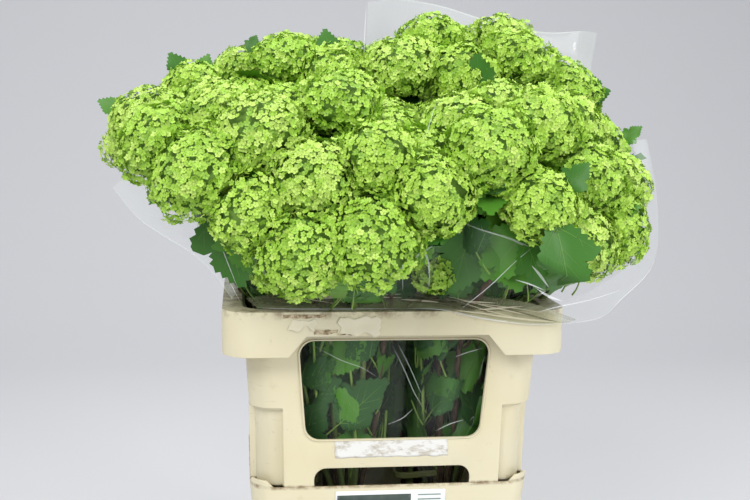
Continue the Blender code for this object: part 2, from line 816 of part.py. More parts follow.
def twig_pieces(shoot, centre):
    """A forked twig from the foot to the middle of each head, and its spine."""
    index, aim, foot, group = shoot
    below = levels_below(foot)[-1]
    rising = (foot - stem_point(index, aim, below)).normalized()
    start = foot + rising * GAP
    knee = start + rising * STEM_RADIUS[1] * 2
    target = Vector(centre[group].mean(0))
    fork = start.lerp(target, FORK_SHARE)
    pieces = [tube_piece([start, knee, fork], [STEM_RADIUS[1], STEM_RADIUS[1], TWIG_RADIUS * 1.2],
                         TWIG_SIDES)]
    for head in group:
        end = Vector(centre[head])
        bend = fork.lerp(end, 0.5) + Vector((0, 0, TWIG_BEND))
        first = fork - (end - fork).normalized() * TWIG_RADIUS
        radii = [TWIG_RADIUS * 1.15, TWIG_RADIUS, TWIG_RADIUS]
        pieces.append(tube_piece([first, bend, end], radii, TWIG_SIDES))
    return pieces, [start, fork, fork.lerp(target, 0.7)]


def outward_of(index, centre):
    """The way a head faces: away from the throat of its bunch."""
    throat = stem_point(index, SEEDS[index], RIM_TOP)
    return (Vector(centre) - throat).normalized()


def make_plant(surfaces, container):
    draw = np.random.default_rng(LEAF_SEED)
    owner, unit, centre, radius = place_heads()
    groups = group_heads(owner, centre, radius)
    solid = solid_radii(groups, centre, radius)
    shoots = plan_shoots(owner, unit, centre, groups)
    masses, mass_trees, twig_places = [], [], []
    for shoot in shoots:
        twigs, spine = twig_pieces(shoot, centre)
        heads = [head_piece(Vector(centre[head]), solid[head], outward_of(shoot[0], centre[head]))
                 for head in shoot[3]]
        masses.append((twigs, heads, spine))
        twig_places += [point for vertices, _ in twigs for point in vertices]
        twig_places += [spine[0].lerp(spine[1], share) for share in (0.25, 0.5, 0.75)]
        mass_trees.append([tree_of(piece) for piece in twigs + heads])

    places = np.concatenate([centre, np.array(twig_places)])
    sizes = np.concatenate([solid, np.zeros(len(twig_places))])
    sleeves = [make_sleeve(index, surfaces["film"], places, sizes) for index in range(len(NAMES))]
    fixed_trees = [tree_of_object(made) for made in sleeves + container]

    stems = []
    for index in range(len(NAMES)):
        tubes = []
        for shoot in (shoot for shoot in shoots if shoot[0] == index):
            foot = shoot[2]
            levels = levels_below(foot) + [foot.z]
            points = [stem_point(index, shoot[1], z) for z in levels]
            radii = np.interp(levels, [STEM_FLOOR, foot.z], STEM_RADIUS)
            tubes.append((tube_piece(points, radii, STEM_SIDES, Vector((0, 0, 1))), points))
        stems.append(tubes)
    stem_trees = [[tree_of(tube) for tube, _ in tubes] for tubes in stems]

    placed_leaves = []
    for number, (twigs, heads, spine) in enumerate(masses):
        others = [tree for other, trees in enumerate(mass_trees) if other != number for tree in trees]
        own_heads = mass_trees[number][len(twigs):]
        obstacles = others + own_heads + fixed_trees + sum(stem_trees, []) + placed_leaves
        leaves = grow_leaves(draw, spine, MASS_LEAVES, MASS_LEAF_LENGTH, obstacles, 0.3)
        placed_leaves += [enlarged(leaf, LEAF_CLEAR) for leaf in leaves]
        pieces = [(twig, 1) for twig in twigs] + [(head, 0) for head in heads]
        pieces += [(leaf, 1) for leaf in leaves]
        name = NAMES[shoots[number][0]]
        count = sum(shoot[0] == shoots[number][0] for shoot in shoots[:number + 1])
        fuse(f"blossom_{name}_{count:02d}", pieces, [surfaces["blossom"], surfaces["leaf"]])

    all_mass_trees = sum(mass_trees, [])
    for index, tubes in enumerate(stems):
        others = [tree for other, trees in enumerate(stem_trees) if other != index for tree in trees]
        obstacles = others + all_mass_trees + fixed_trees + placed_leaves
        pieces = [(tie_piece(index), 0)] + [(tube, 0) for tube, _ in tubes]
        for _, points in tubes:
            share = max(1, round(BUNCH_LEAVES / len(tubes)))
            leaves = grow_leaves(draw, points[2:], share, BUNCH_LEAF_LENGTH, obstacles, 0.5)
            pieces += [(leaf, 1) for leaf in leaves]
        fuse(f"stems_{NAMES[index]}", pieces, [surfaces["wood"], surfaces["leaf"]])


def main():
    for old in list(bpy.data.objects):
        bpy.data.objects.remove(old)
    surfaces = {
        "plastic": material("cream_plastic", CREAM, 0.45),
        "blossom": material("lime_blossom", LIME, 0.75),
        "leaf": material("leaf_green", LEAF_GREEN, 0.55),
        "wood": material("stem_wood", WOOD, 0.80),
        "film": material("clear_film", CLEAR, 0.15),
    }
    container = [make_bucket(surfaces["plastic"]), make_collar(surfaces["plastic"])]
    make_plant(surfaces, container)


main()
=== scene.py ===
"""Looks of the cut snowball viburnum in its flower container, in metres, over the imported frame.

The plan of the five bunches and the places of the flower heads follow the same rule as the
solids, so each head, stem and sleeve lies where its solid does.
"""
import json
import math

import bmesh
import bpy
import numpy as np
from mathutils import Matrix, Vector
from mathutils import noise

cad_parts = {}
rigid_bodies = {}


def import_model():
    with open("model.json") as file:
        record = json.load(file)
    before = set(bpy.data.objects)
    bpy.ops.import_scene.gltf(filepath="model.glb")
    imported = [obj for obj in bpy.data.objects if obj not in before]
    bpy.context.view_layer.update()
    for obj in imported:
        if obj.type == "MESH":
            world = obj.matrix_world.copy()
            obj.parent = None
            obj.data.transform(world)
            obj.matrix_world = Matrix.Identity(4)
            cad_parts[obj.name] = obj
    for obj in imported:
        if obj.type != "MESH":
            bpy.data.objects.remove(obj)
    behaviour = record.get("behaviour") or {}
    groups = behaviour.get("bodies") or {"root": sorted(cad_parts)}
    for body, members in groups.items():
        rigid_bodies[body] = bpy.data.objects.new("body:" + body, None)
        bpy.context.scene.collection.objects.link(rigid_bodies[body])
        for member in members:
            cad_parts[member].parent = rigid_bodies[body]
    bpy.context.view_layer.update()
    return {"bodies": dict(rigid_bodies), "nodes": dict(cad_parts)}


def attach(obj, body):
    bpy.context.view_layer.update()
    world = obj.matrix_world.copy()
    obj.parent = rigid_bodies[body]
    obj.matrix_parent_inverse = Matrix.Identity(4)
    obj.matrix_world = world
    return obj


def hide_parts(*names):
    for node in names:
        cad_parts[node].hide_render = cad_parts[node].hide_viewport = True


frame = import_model()
BODY = next(iter(frame["bodies"]))
NODES = frame["nodes"]

# Container
BUCKET_HEIGHT = 0.235
BUCKET_TOP = (0.336, 0.239)
RIM_TOP = 0.449
COLLAR_RIM = (0.400, 0.300)
COLLAR_NECK = (0.354, 0.256)

# Plan of the bunches at each height: half sizes to the left, right, front and back
REACH_LEVELS = (
    (0.004, 0.118, 0.118, 0.076, 0.076),
    (0.200, 0.135, 0.135, 0.092, 0.092),
    (0.290, 0.152, 0.152, 0.103, 0.103),
    (0.440, 0.164, 0.164, 0.114, 0.114),
    (0.4505, 0.168, 0.168, 0.119, 0.119),
    (0.458, 0.186, 0.203, 0.150, 0.131),
    (0.480, 0.200, 0.262, 0.205, 0.150),
    (0.520, 0.225, 0.300, 0.240, 0.178),
    (0.580, 0.262, 0.308, 0.256, 0.212),
    (0.660, 0.298, 0.316, 0.262, 0.240),
    (0.760, 0.312, 0.320, 0.264, 0.250),
    (0.860, 0.318, 0.322, 0.266, 0.255),
)
HEAD_REACH = (0.298, 0.286, 0.248, 0.228)
CROWN_POWER = 2.6
# Each bunch: its middle in plan, its dome's rise over the rim and fall to its edge, its droop and
# the way that it leans in degrees, its numbers, and its film's rise at the front, sides and back
BUNCHES = {
    "front_left": dict(seat=(-0.105, -0.125), rise=0.232, fall=0.050, droop=0.100, way=-90,
                       heads=18, stems=13, film=(0.085, 0.130, 0.200)),
    "front_right": dict(seat=(0.175, -0.110), rise=0.228, fall=0.045, droop=0.120, way=-55,
                        heads=15, stems=10, film=(0.090, 0.150, 0.200)),
    "left": dict(seat=(-0.240, 0.060), rise=0.255, fall=0.045, droop=0.040, way=200,
                 heads=9, stems=6, film=(0.190, 0.210, 0.210)),
    "back_left": dict(seat=(-0.120, 0.130), rise=0.305, fall=0.060, droop=0.050, way=100,
                      heads=11, stems=8, film=(0.230, 0.260, 0.300)),
    "back_right": dict(seat=(0.110, 0.105), rise=0.325, fall=0.060, droop=0.060, way=20,
                       heads=16, stems=11, film=(0.260, 0.360, 0.410)),
}
NAMES = list(BUNCHES)

# Flower heads: sizes, and how they push each other apart
PLANT_SEED = 18
HEAD_RADIUS = (0.035, 0.047)
HEAD_STRAY = 0.014
HEAD_SPACING = 0.92
HEAD_SEAM = 0.15
MOST_HEADS = 2
RELAX_ROUNDS = 160
RELAX_STEP = 0.35

# Stems and twigs: sizes, and how far apart the stems stand at each height
STEM_RADIUS = (0.0040, 0.0032)
STEM_FLOOR = 0.0043
STEM_LEVELS = (STEM_FLOOR, 0.186, 0.212, 0.30, 0.38)
STEM_SPREAD = ((0.004, 0.55), (0.186, 0.29), (0.212, 0.29), (0.30, 0.58), (0.44, 0.74), (0.86, 0.86))
FOOT_DROP = 0.135
LOWEST_FOOT = 0.452
FORK_SHARE = 0.40

# Film: the gap between two sleeves in the plan, and the lowest edge
FILM_SEAM = 0.035
FILM_LOW = 0.475
FILM_SIDES = 96
FILM_STEP = 0.003
FILM_CLEARANCE = 0.008

# Colours, as linear red, green and blue
CREAM = (0.70, 0.645, 0.465)
# Dirt on the rim; the same colour paints the shadow along the seam of collar and bucket
DIRT_AND_SEAM_SHADOW = (0.20, 0.125, 0.06)
# The fourth lime is a painted shade, for the florets that lie deep between a head's clusters
LIMES = ((0.39, 0.61, 0.070), (0.33, 0.56, 0.052), (0.46, 0.65, 0.115), (0.25, 0.45, 0.040))
# The dark core of each head is a painted shade
LIME_CORE_SHADE = (0.110, 0.215, 0.022)
LEAF_GREENS = ((0.044, 0.152, 0.018), (0.068, 0.208, 0.020), (0.021, 0.086, 0.014), (0.118, 0.285, 0.028))
VEIN_GREEN = (0.115, 0.255, 0.045)
STALK_GREEN = (0.20, 0.34, 0.055)
TWIG_GREEN = (0.12, 0.24, 0.035)
TWIG_DARK = (0.07, 0.13, 0.03)
BARK = (0.060, 0.034, 0.018)

UP = np.array([0, 0, 1.0])
FULL_TURN = 2 * math.pi
GOLDEN_HALF_TURNS = 3 - math.sqrt(5)
GOLDEN_SHARE = 0.618034
# Seeds of the random draws
HEAD_SEED, BLOSSOM_SEED, TWIG_SEED, LEAF_SEED = 500, 100, 200, 300
SMALL_HEAD_SEED = 90


# Making meshes and materials

def link(made):
    bpy.context.scene.collection.objects.link(made)
    return made


def add_mesh(name, vertices, blocks, surfaces, slots=None):
    """A mesh from points and from lists of faces, each list with one number of corners."""
    mesh = bpy.data.meshes.new(name)
    mesh.vertices.add(len(vertices))
    mesh.vertices.foreach_set("co", np.asarray(vertices, np.float32).ravel())
    corners = np.concatenate([np.ravel(block) for block in blocks]).astype(np.int32)
    sizes = np.concatenate([np.full(len(block), len(block[0])) for block in blocks])
    starts = np.concatenate([[0], np.cumsum(sizes)[:-1]]).astype(np.int32)
    mesh.loops.add(len(corners))
    mesh.loops.foreach_set("vertex_index", corners)
    mesh.polygons.add(len(sizes))
    mesh.polygons.foreach_set("loop_start", starts)
    if slots is not None:
        mesh.polygons.foreach_set("material_index", np.asarray(slots, np.int32))
    for surface in surfaces:
        mesh.materials.append(surface)
    mesh.update(calc_edges=True)
    return link(bpy.data.objects.new(name, mesh))


def add_shape(name, vertices, faces, surfaces):
    """A mesh from a list of faces with any numbers of corners."""
    made = add_mesh(name, vertices, [[face] for face in faces], surfaces)
    made.data.validate()
    return made


def grid_faces(rows, columns, round_columns=True, round_rows=False):
    """Quads between rows of points, which can close on themselves both ways."""
    faces = []
    for row in range(rows if round_rows else rows - 1):
        above = (row + 1) % rows
        for side in range(columns if round_columns else columns - 1):
            beside = (side + 1) % columns
            faces.append((row * columns + side, row * columns + beside,
                          above * columns + beside, above * columns + side))
    return faces


def face_outwards(mesh):
    """Turn all faces of a closed mesh outwards."""
    work = bmesh.new()
    work.from_mesh(mesh)
    bmesh.ops.recalc_face_normals(work, faces=work.faces)
    work.to_mesh(mesh)
    work.free()


def unit_length(vectors):
    return vectors / np.linalg.norm(vectors, axis=-1, keepdims=True)


def finish_piece(piece, replaced=()):
    """Let a piece ride with the body, and hide the solids that it stands for."""
    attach(piece, BODY)
    if replaced:
        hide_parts(*replaced)
    return piece


class Patches:
    """Many copies of small shapes gathered into one mesh, each with a material number."""

    def __init__(self):
        self.vertices, self.faces, self.slots, self.count = [], [], [], 0

    def add(self, vertices, faces, slot):
        """Points as an array (copies, points, 3), and the faces of one copy, all of one size."""
        copies, points, _ = vertices.shape
        shifts = self.count + np.arange(copies)[:, None, None] * points
        block = (np.array(faces)[None] + shifts).reshape(-1, len(faces[0]))
        self.vertices.append(vertices.reshape(-1, 3))
        self.faces.append(block)
        self.slots.append(np.full(len(block), slot))
        self.count += copies * points

    def build(self, name, surfaces):
        return add_mesh(name, np.concatenate(self.vertices), self.faces, surfaces, np.concatenate(self.slots))


def plain_material(name, colour, roughness, **sockets):
    made = bpy.data.materials.new(name)
    made.use_nodes = True
    shader = made.node_tree.nodes["Principled BSDF"]
    shader.inputs["Base Color"].default_value = (*colour, 1.0)
    shader.inputs["Roughness"].default_value = roughness
    for socket, value in sockets.items():
        shader.inputs[socket.replace("_", " ")].default_value = value
    return made


class Shading:
    """Short names for building a procedural material."""

    def __init__(self, made):
        self.tree = made.node_tree
        self.shader = made.node_tree.nodes["Principled BSDF"]
        self.place = self.node("ShaderNodeTexCoord").outputs["Object"]

    def feed(self, socket, value):
        """Link an output to a socket, or set the socket to a number, a colour or a scale."""
        if isinstance(value, bpy.types.NodeSocket):
            self.tree.links.new(value, socket)
        elif isinstance(value, tuple):
            socket.default_value = (*value, 1.0)[:len(socket.default_value)]
        else:
            socket.default_value = value

    def node(self, kind, inputs=(), **settings):
        made = self.tree.nodes.new(kind)
        for name, value in settings.items():
            setattr(made, name, value)
        for socket, value in dict(inputs).items():
            self.feed(made.inputs[socket], value)
        return made

    def noise(self, scale, detail=4.0, roughness=0.55, stretch=None):
        place = self.place
        if stretch is not None:
            place = self.node("ShaderNodeMapping", {"Scale": stretch, "Vector": place}).outputs["Vector"]
        inputs = {"Scale": scale, "Detail": detail, "Roughness": roughness, "Vector": place}
        return self.node("ShaderNodeTexNoise", inputs).outputs["Fac"]

    def ramp(self, factor, stops):
        made = self.node("ShaderNodeValToRGB", {"Fac": factor})
        elements = made.color_ramp.elements
        while len(elements) < len(stops):
            elements.new(0.5)
        for element, (position, colour) in zip(elements, stops):
            element.position = position
            element.color = (*colour, 1.0)
        return made.outputs["Color"]

    def grey(self, factor, low, high, start=0.0, end=1.0):
        """A factor mapped so that low becomes start and high becomes end, clamped."""
        inputs = {"Value": factor, "From Min": low, "From Max": high, "To Min": start, "To Max": end}
        return self.node("ShaderNodeMapRange", inputs).outputs["Result"]

    def product(self, first, second):
        return self.node("ShaderNodeMath", {0: first, 1: second}, operation="MULTIPLY").outputs["Value"]

    def mix(self, factor, first, second):
        return self.node("ShaderNodeMix", {0: factor, 6: first, 7: second}, data_type="RGBA").outputs[2]

    def finish(self, colour, roughness=None):
        self.feed(self.shader.inputs["Base Color"], colour)
        if roughness is not None:
            self.feed(self.shader.inputs["Roughness"], roughness)

    def bump(self, height, strength, distance):
        made = self.node("ShaderNodeBump", {"Height": height, "Strength": strength, "Distance": distance})
        self.feed(self.shader.inputs["Normal"], made.outputs["Normal"])


# The plan that the five bunches share

def plan_point(point, reach):
    """A real place in plan, as a place in the unit plan."""
    left, right, front, back = reach
    u = point[..., 0] / np.where(point[..., 0] < 0, left, right)
    v = point[..., 1] / np.where(point[..., 1] < 0, front, back)
    return np.stack([u, v], -1)


def real_point(unit, reach):
    """A place in the unit plan, as a real place."""
    left, right, front, back = reach
    x = unit[..., 0] * np.where(unit[..., 0] < 0, left, right)
    y = unit[..., 1] * np.where(unit[..., 1] < 0, front, back)
    return np.stack([x, y], -1)


def reach_at(z):
    """The plan's half sizes at a height."""
    table = np.array(REACH_LEVELS)
    return [np.interp(z, table[:, 0], table[:, column]) for column in range(1, 5)]


SEEDS = np.array([plan_point(np.array(bunch["seat"]), HEAD_REACH) for bunch in BUNCHES.values()])


def crown_norm(unit):
    powers = np.abs(unit[..., 0]) ** CROWN_POWER + np.abs(unit[..., 1]) ** CROWN_POWER
    return powers ** (1 / CROWN_POWER)


def cell_radius(index, angle, seam, sharpness=8.0):
    """How far a bunch's share of the unit plan reaches from its seed."""
    ray = np.stack([np.cos(angle), np.sin(angle)], -1)
    seed = SEEDS[index]
    low = np.zeros(angle.shape)
    high = np.full(angle.shape, 3.0)
    for _ in range(40):
        middle = (low + high) / 2
        inside = crown_norm(seed + ray * middle[..., None]) < 1
        low = np.where(inside, middle, low)
        high = np.where(inside, high, middle)
    total = low ** -sharpness
    for other in range(len(SEEDS)):
        if other != index:
            between = SEEDS[other] - seed
            length = np.hypot(*between)
            facing = np.maximum(ray @ between / length, 1e-3)
            total = total + ((length - seam) / 2 / facing) ** -sharpness
    return total ** (-1 / sharpness)


def dome_height(index, unit):
    """Height over the floor of the middle of a flower head."""
    bunch = BUNCHES[NAMES[index]]
    offset = unit - SEEDS[index]
    angle = np.arctan2(offset[..., 1], offset[..., 0])
    share = np.hypot(offset[..., 0], offset[..., 1]) / cell_radius(index, angle, 0.0)
    facing = np.clip(np.cos(angle - math.radians(bunch["way"])), 0, 1) ** 2
    droop = bunch["droop"] * facing * share ** 3
    return RIM_TOP + bunch["rise"] - bunch["fall"] * share ** 2 - droop


def lift_heads(owner, unit, stray):
    """The middles of the heads, from their places in the unit plan."""
    centre = np.zeros((len(owner), 3))
    centre[:, :2] = real_point(unit, HEAD_REACH)
    for index in range(len(SEEDS)):
        mine = owner == index
        centre[mine, 2] = dome_height(index, unit[mine]) + stray[mine]
    return centre


def keep_in_cell(owner, unit):
    """Pull the heads that have left their bunch's share of the plan back to its edge."""
    for index in range(len(SEEDS)):
        mine = owner == index
        offset = unit[mine] - SEEDS[index]
        length = np.hypot(offset[:, 0], offset[:, 1])
        limit = cell_radius(index, np.arctan2(offset[:, 1], offset[:, 0]), HEAD_SEAM, 16.0)
        share = np.minimum(length, limit) / np.maximum(length, 1e-9)
        unit[mine] = SEEDS[index] + offset * share[:, None]
    return unit


def place_heads():
    """Spread each bunch's heads in a spiral, then let them push each other apart."""
    draw = np.random.default_rng(PLANT_SEED)
    owner = np.repeat(np.arange(len(NAMES)), [bunch["heads"] for bunch in BUNCHES.values()])
    unit = []
    for index, bunch in enumerate(BUNCHES.values()):
        order = np.arange(bunch["heads"]) + 0.5
        angle = order * (math.pi * GOLDEN_HALF_TURNS) + index
        reach = cell_radius(index, angle, HEAD_SEAM) * np.sqrt(order / bunch["heads"])
        unit.append(SEEDS[index] + np.stack([np.cos(angle), np.sin(angle)], -1) * reach[:, None])
    unit = np.concatenate(unit)
    radius = draw.uniform(*HEAD_RADIUS, len(owner))
    stray = draw.uniform(-HEAD_STRAY, HEAD_STRAY, len(owner))
    apart = 1 - np.eye(len(owner))
    for _ in range(RELAX_ROUNDS):
        centre = lift_heads(owner, unit, stray)
        between = centre[:, None] - centre[None]
        distance = np.linalg.norm(between, axis=-1) + np.eye(len(owner))
        wanted = (radius[:, None] + radius[None]) * HEAD_SPACING
        push = np.clip(wanted - distance, 0, None) * apart
        step = (between / distance[..., None] * push[..., None]).sum(1) * RELAX_STEP
        unit = keep_in_cell(owner, plan_point(centre[:, :2] + step[:, :2], HEAD_REACH))
    return owner, unit, lift_heads(owner, unit, stray), radius


def group_heads(owner, centre, radius):
    """Share out each bunch's heads to its stems, the closest ones together."""
    groups = [[head] for head in range(len(owner))]
    for index, bunch in enumerate(BUNCHES.values()):
        while sum(owner[group[0]] == index for group in groups) > bunch["stems"]:
            best = None
            mine = [group for group in groups if owner[group[0]] == index]
            for first in range(len(mine)):
                for second in range(first + 1, len(mine)):
                    heads = mine[first] + mine[second]
                    if len(heads) > MOST_HEADS:
                        continue
                    spread = np.ptp(centre[heads], axis=0)
                    size = np.linalg.norm(spread) / radius[heads].mean()
                    if best is None or size < best[0]:
                        best = (size, mine[first], mine[second])
            groups.remove(best[2])
            best[1].extend(best[2])
    return groups


def stem_point(index, aim, z):
    """Where the stem that is bound for a place in the unit plan crosses a height."""
    heights, spreads = zip(*STEM_SPREAD)
    unit = SEEDS[index] + (aim - SEEDS[index]) * np.interp(z, heights, spreads)
    x, y = real_point(unit, reach_at(z))
    return Vector((x, y, z))


def plan_shoots(owner, unit, centre, groups):
    """For each group of heads: its bunch, its aim in the plan and the foot of its twigs."""
    shoots = []
    for group in groups:
        index = owner[group[0]]
        aim = unit[group].mean(0)
        foot_z = max(centre[group, 2].mean() - FOOT_DROP, LOWEST_FOOT)
        shoots.append((index, aim, stem_point(index, aim, foot_z), group))
    return shoots


def film_real(index, offset, z):
    """Unit-plan offsets from a bunch's seed, as real places at the heights z."""
    z = np.asarray(z, float)
    place = real_point(SEEDS[index] + offset, reach_at(z))
    return np.concatenate([place, np.broadcast_to(z, place.shape[:-1])[..., None]], -1)


def film_edge(index, angle, z, spread=1.0):
    """A place on a sleeve, from its angle round the bunch and its height."""
    ray = np.stack([np.cos(angle), np.sin(angle)], -1)
    radius = cell_radius(index, np.asarray(angle, float), FILM_SEAM)
    return film_real(index, ray * (radius * spread)[..., None], z)


OWNER, UNIT, CENTRE, RADIUS = place_heads()
SHOOTS = plan_shoots(OWNER, UNIT, CENTRE, group_heads(OWNER, CENTRE, RADIUS))


def nodes_named(start):
    """The names of the solids that a piece stands for."""
    return [name for name in NODES if name.startswith(start)]


def shoots_of(index):
    return [shoot for shoot in SHOOTS if shoot[0] == index]


# Blossom: balls of five-petalled florets over a core in painted shade

PETALS = 5
PETAL_OUTLINE = ((0.04, 0.0), (0.64, 0.42), (1.0, 0.0), (0.64, -0.42))
DIRECTION_STRAY = 0.35
PETAL_RISE = 0.30
PETAL_CUP = 0.16
FLORET_SIZE = (0.0031, 0.0045)
FLORET_ROOM = 0.0000262
FLORET_TILT = 0.36
FLORET_STRAY = 0.0012
LOWEST_FLORET = -0.86
SHADED_BELOW = -0.75
HEAD_STRETCH = ((1.00, 1.00, 0.80), (1.20, 1.16, 0.92))
CLUSTERS = 26
CLUSTER_COSINE = 0.085
CLUSTER_DEPTH = 0.095
BLEND_RANGE = 0.012
BLEND_WITHIN = 0.11
BLEND_LIFT = 0.0085
MOST_LIFT = 0.011
LUMP_SCALE = 1.9
LUMP_DEPTH = 0.16
THINNED_BELOW = -0.45
THINNED_SHARE = 0.36
CORE_SHARE = 0.80
# Small late heads behind the film: bunch, middle, radius
SMALL_HEADS = (("front_left", (-0.147, -0.150, 0.492), 0.019), ("front_right", (0.034, -0.172, 0.499), 0.024))


def floret_template():
    """Five cupped petals round a point, as corners and one four-cornered face each."""
    points, faces = [], []
    for petal in range(PETALS):
        turn = FULL_TURN * petal / PETALS
        for forward, across in PETAL_OUTLINE:
            lift = PETAL_RISE * forward - PETAL_CUP * abs(across)
            points.append((forward * math.cos(turn) - across * math.sin(turn),
                           forward * math.sin(turn) + across * math.cos(turn), lift))
        first = petal * len(PETAL_OUTLINE)
        faces.append(tuple(first + corner for corner in reversed(range(len(PETAL_OUTLINE)))))
    return np.array(points), faces


FLORET, FLORET_FACES = floret_template()


def spread_directions(count, draw):
    """Nearly even directions over a ball, each a little astray."""
    order = np.arange(count) + 0.5
    height = 1 - 2 * order / count
    angle = order * math.pi * GOLDEN_HALF_TURNS
    flat = np.sqrt(1 - height ** 2)
    ways = np.stack([flat * np.cos(angle), flat * np.sin(angle), height], -1)
    ways += draw.normal(0, DIRECTION_STRAY / math.sqrt(count), ways.shape)
    return unit_length(ways)


def across_axes(normals, draw):
    """Two directions square to each normal, turned at random about it."""
    helper = np.where(np.abs(normals[:, 2:3]) < 0.9, [[0, 0, 1.0]], [[1.0, 0, 0]])
    first = unit_length(np.cross(normals, helper))
    second = np.cross(normals, first)
    spin = draw.uniform(0, FULL_TURN, (len(normals), 1))
    return first * np.cos(spin) + second * np.sin(spin), second * np.cos(spin) - first * np.sin(spin)


def head_frame(index, centre):
    """The turn of a head, whose axis points away from the middle of its bunch at the rim."""
    throat = stem_point(index, SEEDS[index], RIM_TOP)
    outward = (Vector(centre) - throat).normalized()
    return np.array(outward.to_track_quat("Z", "Y").to_matrix())


def head_shape(seed):
    """The stretch of a head and the directions of its clusters of florets."""
    draw = np.random.default_rng(HEAD_SEED + seed)
    return draw.uniform(*HEAD_STRETCH), spread_directions(CLUSTERS, draw)


def bulge_of(ways, seed):
    """How far each direction stands out, from -1 between the clusters to 1 on top of one."""
    nearest = (ways @ head_shape(seed)[1].T).max(1)
    return np.clip(1 - 2 * (1 - nearest) / CLUSTER_COSINE, -1, 1)


def reach_of(ways, seed):
    """The share of a head's radius that it has in each direction."""
    shift = Vector((seed * 7.3, seed * 3.1, 0))
    lump = np.array([noise.noise(Vector(way) * LUMP_SCALE + shift) for way in ways])
    return 1 + CLUSTER_DEPTH * (bulge_of(ways, seed) - 0.6) / 1.6 + LUMP_DEPTH * lump


def blend_heads(points, centre):
    """Lift the points that lie in the crease between two heads, so that the heads run together."""
    away = unit_length(points - centre)
    lift = np.zeros(points.shape)
    for other, radius in zip(CENTRE, RADIUS):
        if not 0.001 < np.linalg.norm(other - centre) < BLEND_WITHIN:
            continue
        beyond = points - other
        distance = np.linalg.norm(beyond, axis=1, keepdims=True)
        way = unit_length(away + beyond / distance)
        lift += way * BLEND_LIFT * np.exp(-((distance - radius) / BLEND_RANGE) ** 2)
    length = np.linalg.norm(lift, axis=1, keepdims=True)
    return points + lift * np.minimum(1, MOST_LIFT / np.maximum(length, 1e-9))


def add_head(patches, centre, radius, turn, seed, draw):
    """A ball of florets, thinner between its clusters, where the florets deep in the creases take a painted
    shade.
    """
    ways = spread_directions(int(4 * math.pi * radius ** 2 / FLORET_ROOM), draw)
    ways = ways[ways[:, 2] > LOWEST_FLORET]
    bulge = bulge_of(ways, seed)
    kept = (bulge > THINNED_BELOW) | (draw.random(len(ways)) > THINNED_SHARE)
    ways, bulge = ways[kept], bulge[kept]
    stretch = head_shape(seed)[0]
    reach = radius * reach_of(ways, seed) + draw.normal(0, FLORET_STRAY, len(ways))
    middles = blend_heads((ways * reach[:, None] * stretch) @ turn.T + centre, centre)
    facing = unit_length(ways / stretch + draw.normal(0, FLORET_TILT, ways.shape))
    first, second = across_axes(facing, draw)
    size = draw.uniform(*FLORET_SIZE, len(ways))[:, None, None]
    shape = (FLORET[None, :, 0:1] * first[:, None] + FLORET[None, :, 1:2] * second[:, None]
             + FLORET[None, :, 2:3] * facing[:, None]) * size
    points = middles[:, None] + shape @ turn.T
    tone = draw.integers(0, 3)
    mixed = np.where(draw.random(len(ways)) < 0.5, tone, draw.integers(0, 3, len(ways)))
    # Florets deep between the clusters take the fourth lime, a painted shade
    shade = np.where(bulge < SHADED_BELOW, 3, mixed)
    for number in range(len(LIMES)):
        mine = shade == number
        if mine.any():
            patches.add(points[mine], FLORET_FACES, number)


def add_core(patches, centre, radius, turn, seed):
    """The inside of a head: a dark ball whose colour is a painted shade."""
    work = bmesh.new()
    bmesh.ops.create_icosphere(work, subdivisions=3, radius=1.0)
    ways = np.array([vertex.co[:] for vertex in work.verts])
    faces = [tuple(vertex.index for vertex in face.verts) for face in work.faces]
    work.free()
    reach = radius * (reach_of(ways, seed) - 1 + CORE_SHARE)
    local = ways * reach[:, None] * head_shape(seed)[0]
    patches.add(blend_heads(local @ turn.T + centre, centre)[None], faces, len(LIMES))


def make_blossom():
    surfaces = [plain_material(f"petals_{number}", colour, 0.55) for number, colour in enumerate(LIMES)]
    # The inside of each head is a dark ball in painted shade
    surfaces.append(plain_material("petals_inside_shade", LIME_CORE_SHADE, 0.8))
    for index, name in enumerate(NAMES):
        draw = np.random.default_rng(BLOSSOM_SEED + index)
        patches = Patches()
        heads = [(CENTRE[head], RADIUS[head], head) for head in np.flatnonzero(OWNER == index)]
        heads += [(np.array(centre), radius, SMALL_HEAD_SEED + number)
                  for number, (owner, centre, radius) in enumerate(SMALL_HEADS) if owner == name]
        for centre, radius, seed in heads:
            turn = head_frame(index, centre)
            add_head(patches, centre, radius, turn, seed, draw)
            add_core(patches, centre, radius, turn, seed)
        piece = patches.build(f"flower_heads_{name}", surfaces)
        finish_piece(piece, nodes_named(f"blossom_{name}_"))


# Stems and twigs

def smooth_path(points, steps):
    """A curve through the points, as an array with steps stretches between neighbours."""
    knots = [points[0] * 2 - points[1]] + list(points) + [points[-1] * 2 - points[-2]]
    path = []
    for number in range(1, len(knots) - 2):
        before, here, there, after = (np.array(knot) for knot in knots[number - 1:number + 3])
        for step in range(steps):
            t = step / steps
            path.append(0.5 * (2 * here + (there - before) * t
                               + (2 * before - 5 * here + 4 * there - after) * t ** 2
                               + (3 * here - before - 3 * there + after) * t ** 3))
    path.append(np.array(points[-1]))
    return np.array(path)


def add_tube(patches, path, radii, sides, slot):
    """A closed round bar along the path, its radii given along it or round it as well."""
    along = unit_length(np.gradient(path, axis=0))
    first = unit_length(np.cross(along, [0.13, 1.0, 0.07]))
    second = np.cross(along, first)
    angle = (FULL_TURN * np.arange(sides) / sides)[None, :, None]
    radii = np.broadcast_to(np.asarray(radii, float).reshape(len(path), -1), (len(path), sides))
    ring = first[:, None] * np.cos(angle) + second[:, None] * np.sin(angle)
    points = path[:, None] + ring * radii[..., None]
    patches.add(points.reshape(1, -1, 3), grid_faces(len(path), sides), slot)
    caps = np.concatenate([points[0], points[-1]])[None]
    patches.add(caps, [tuple(reversed(range(sides))), tuple(range(sides, 2 * sides))], slot)


def add_taper(patches, path, start, end, sides, slot):
    """A round bar whose radius goes evenly from start to end."""
    add_tube(patches, path, np.linspace(start, end, len(path)), sides, slot)


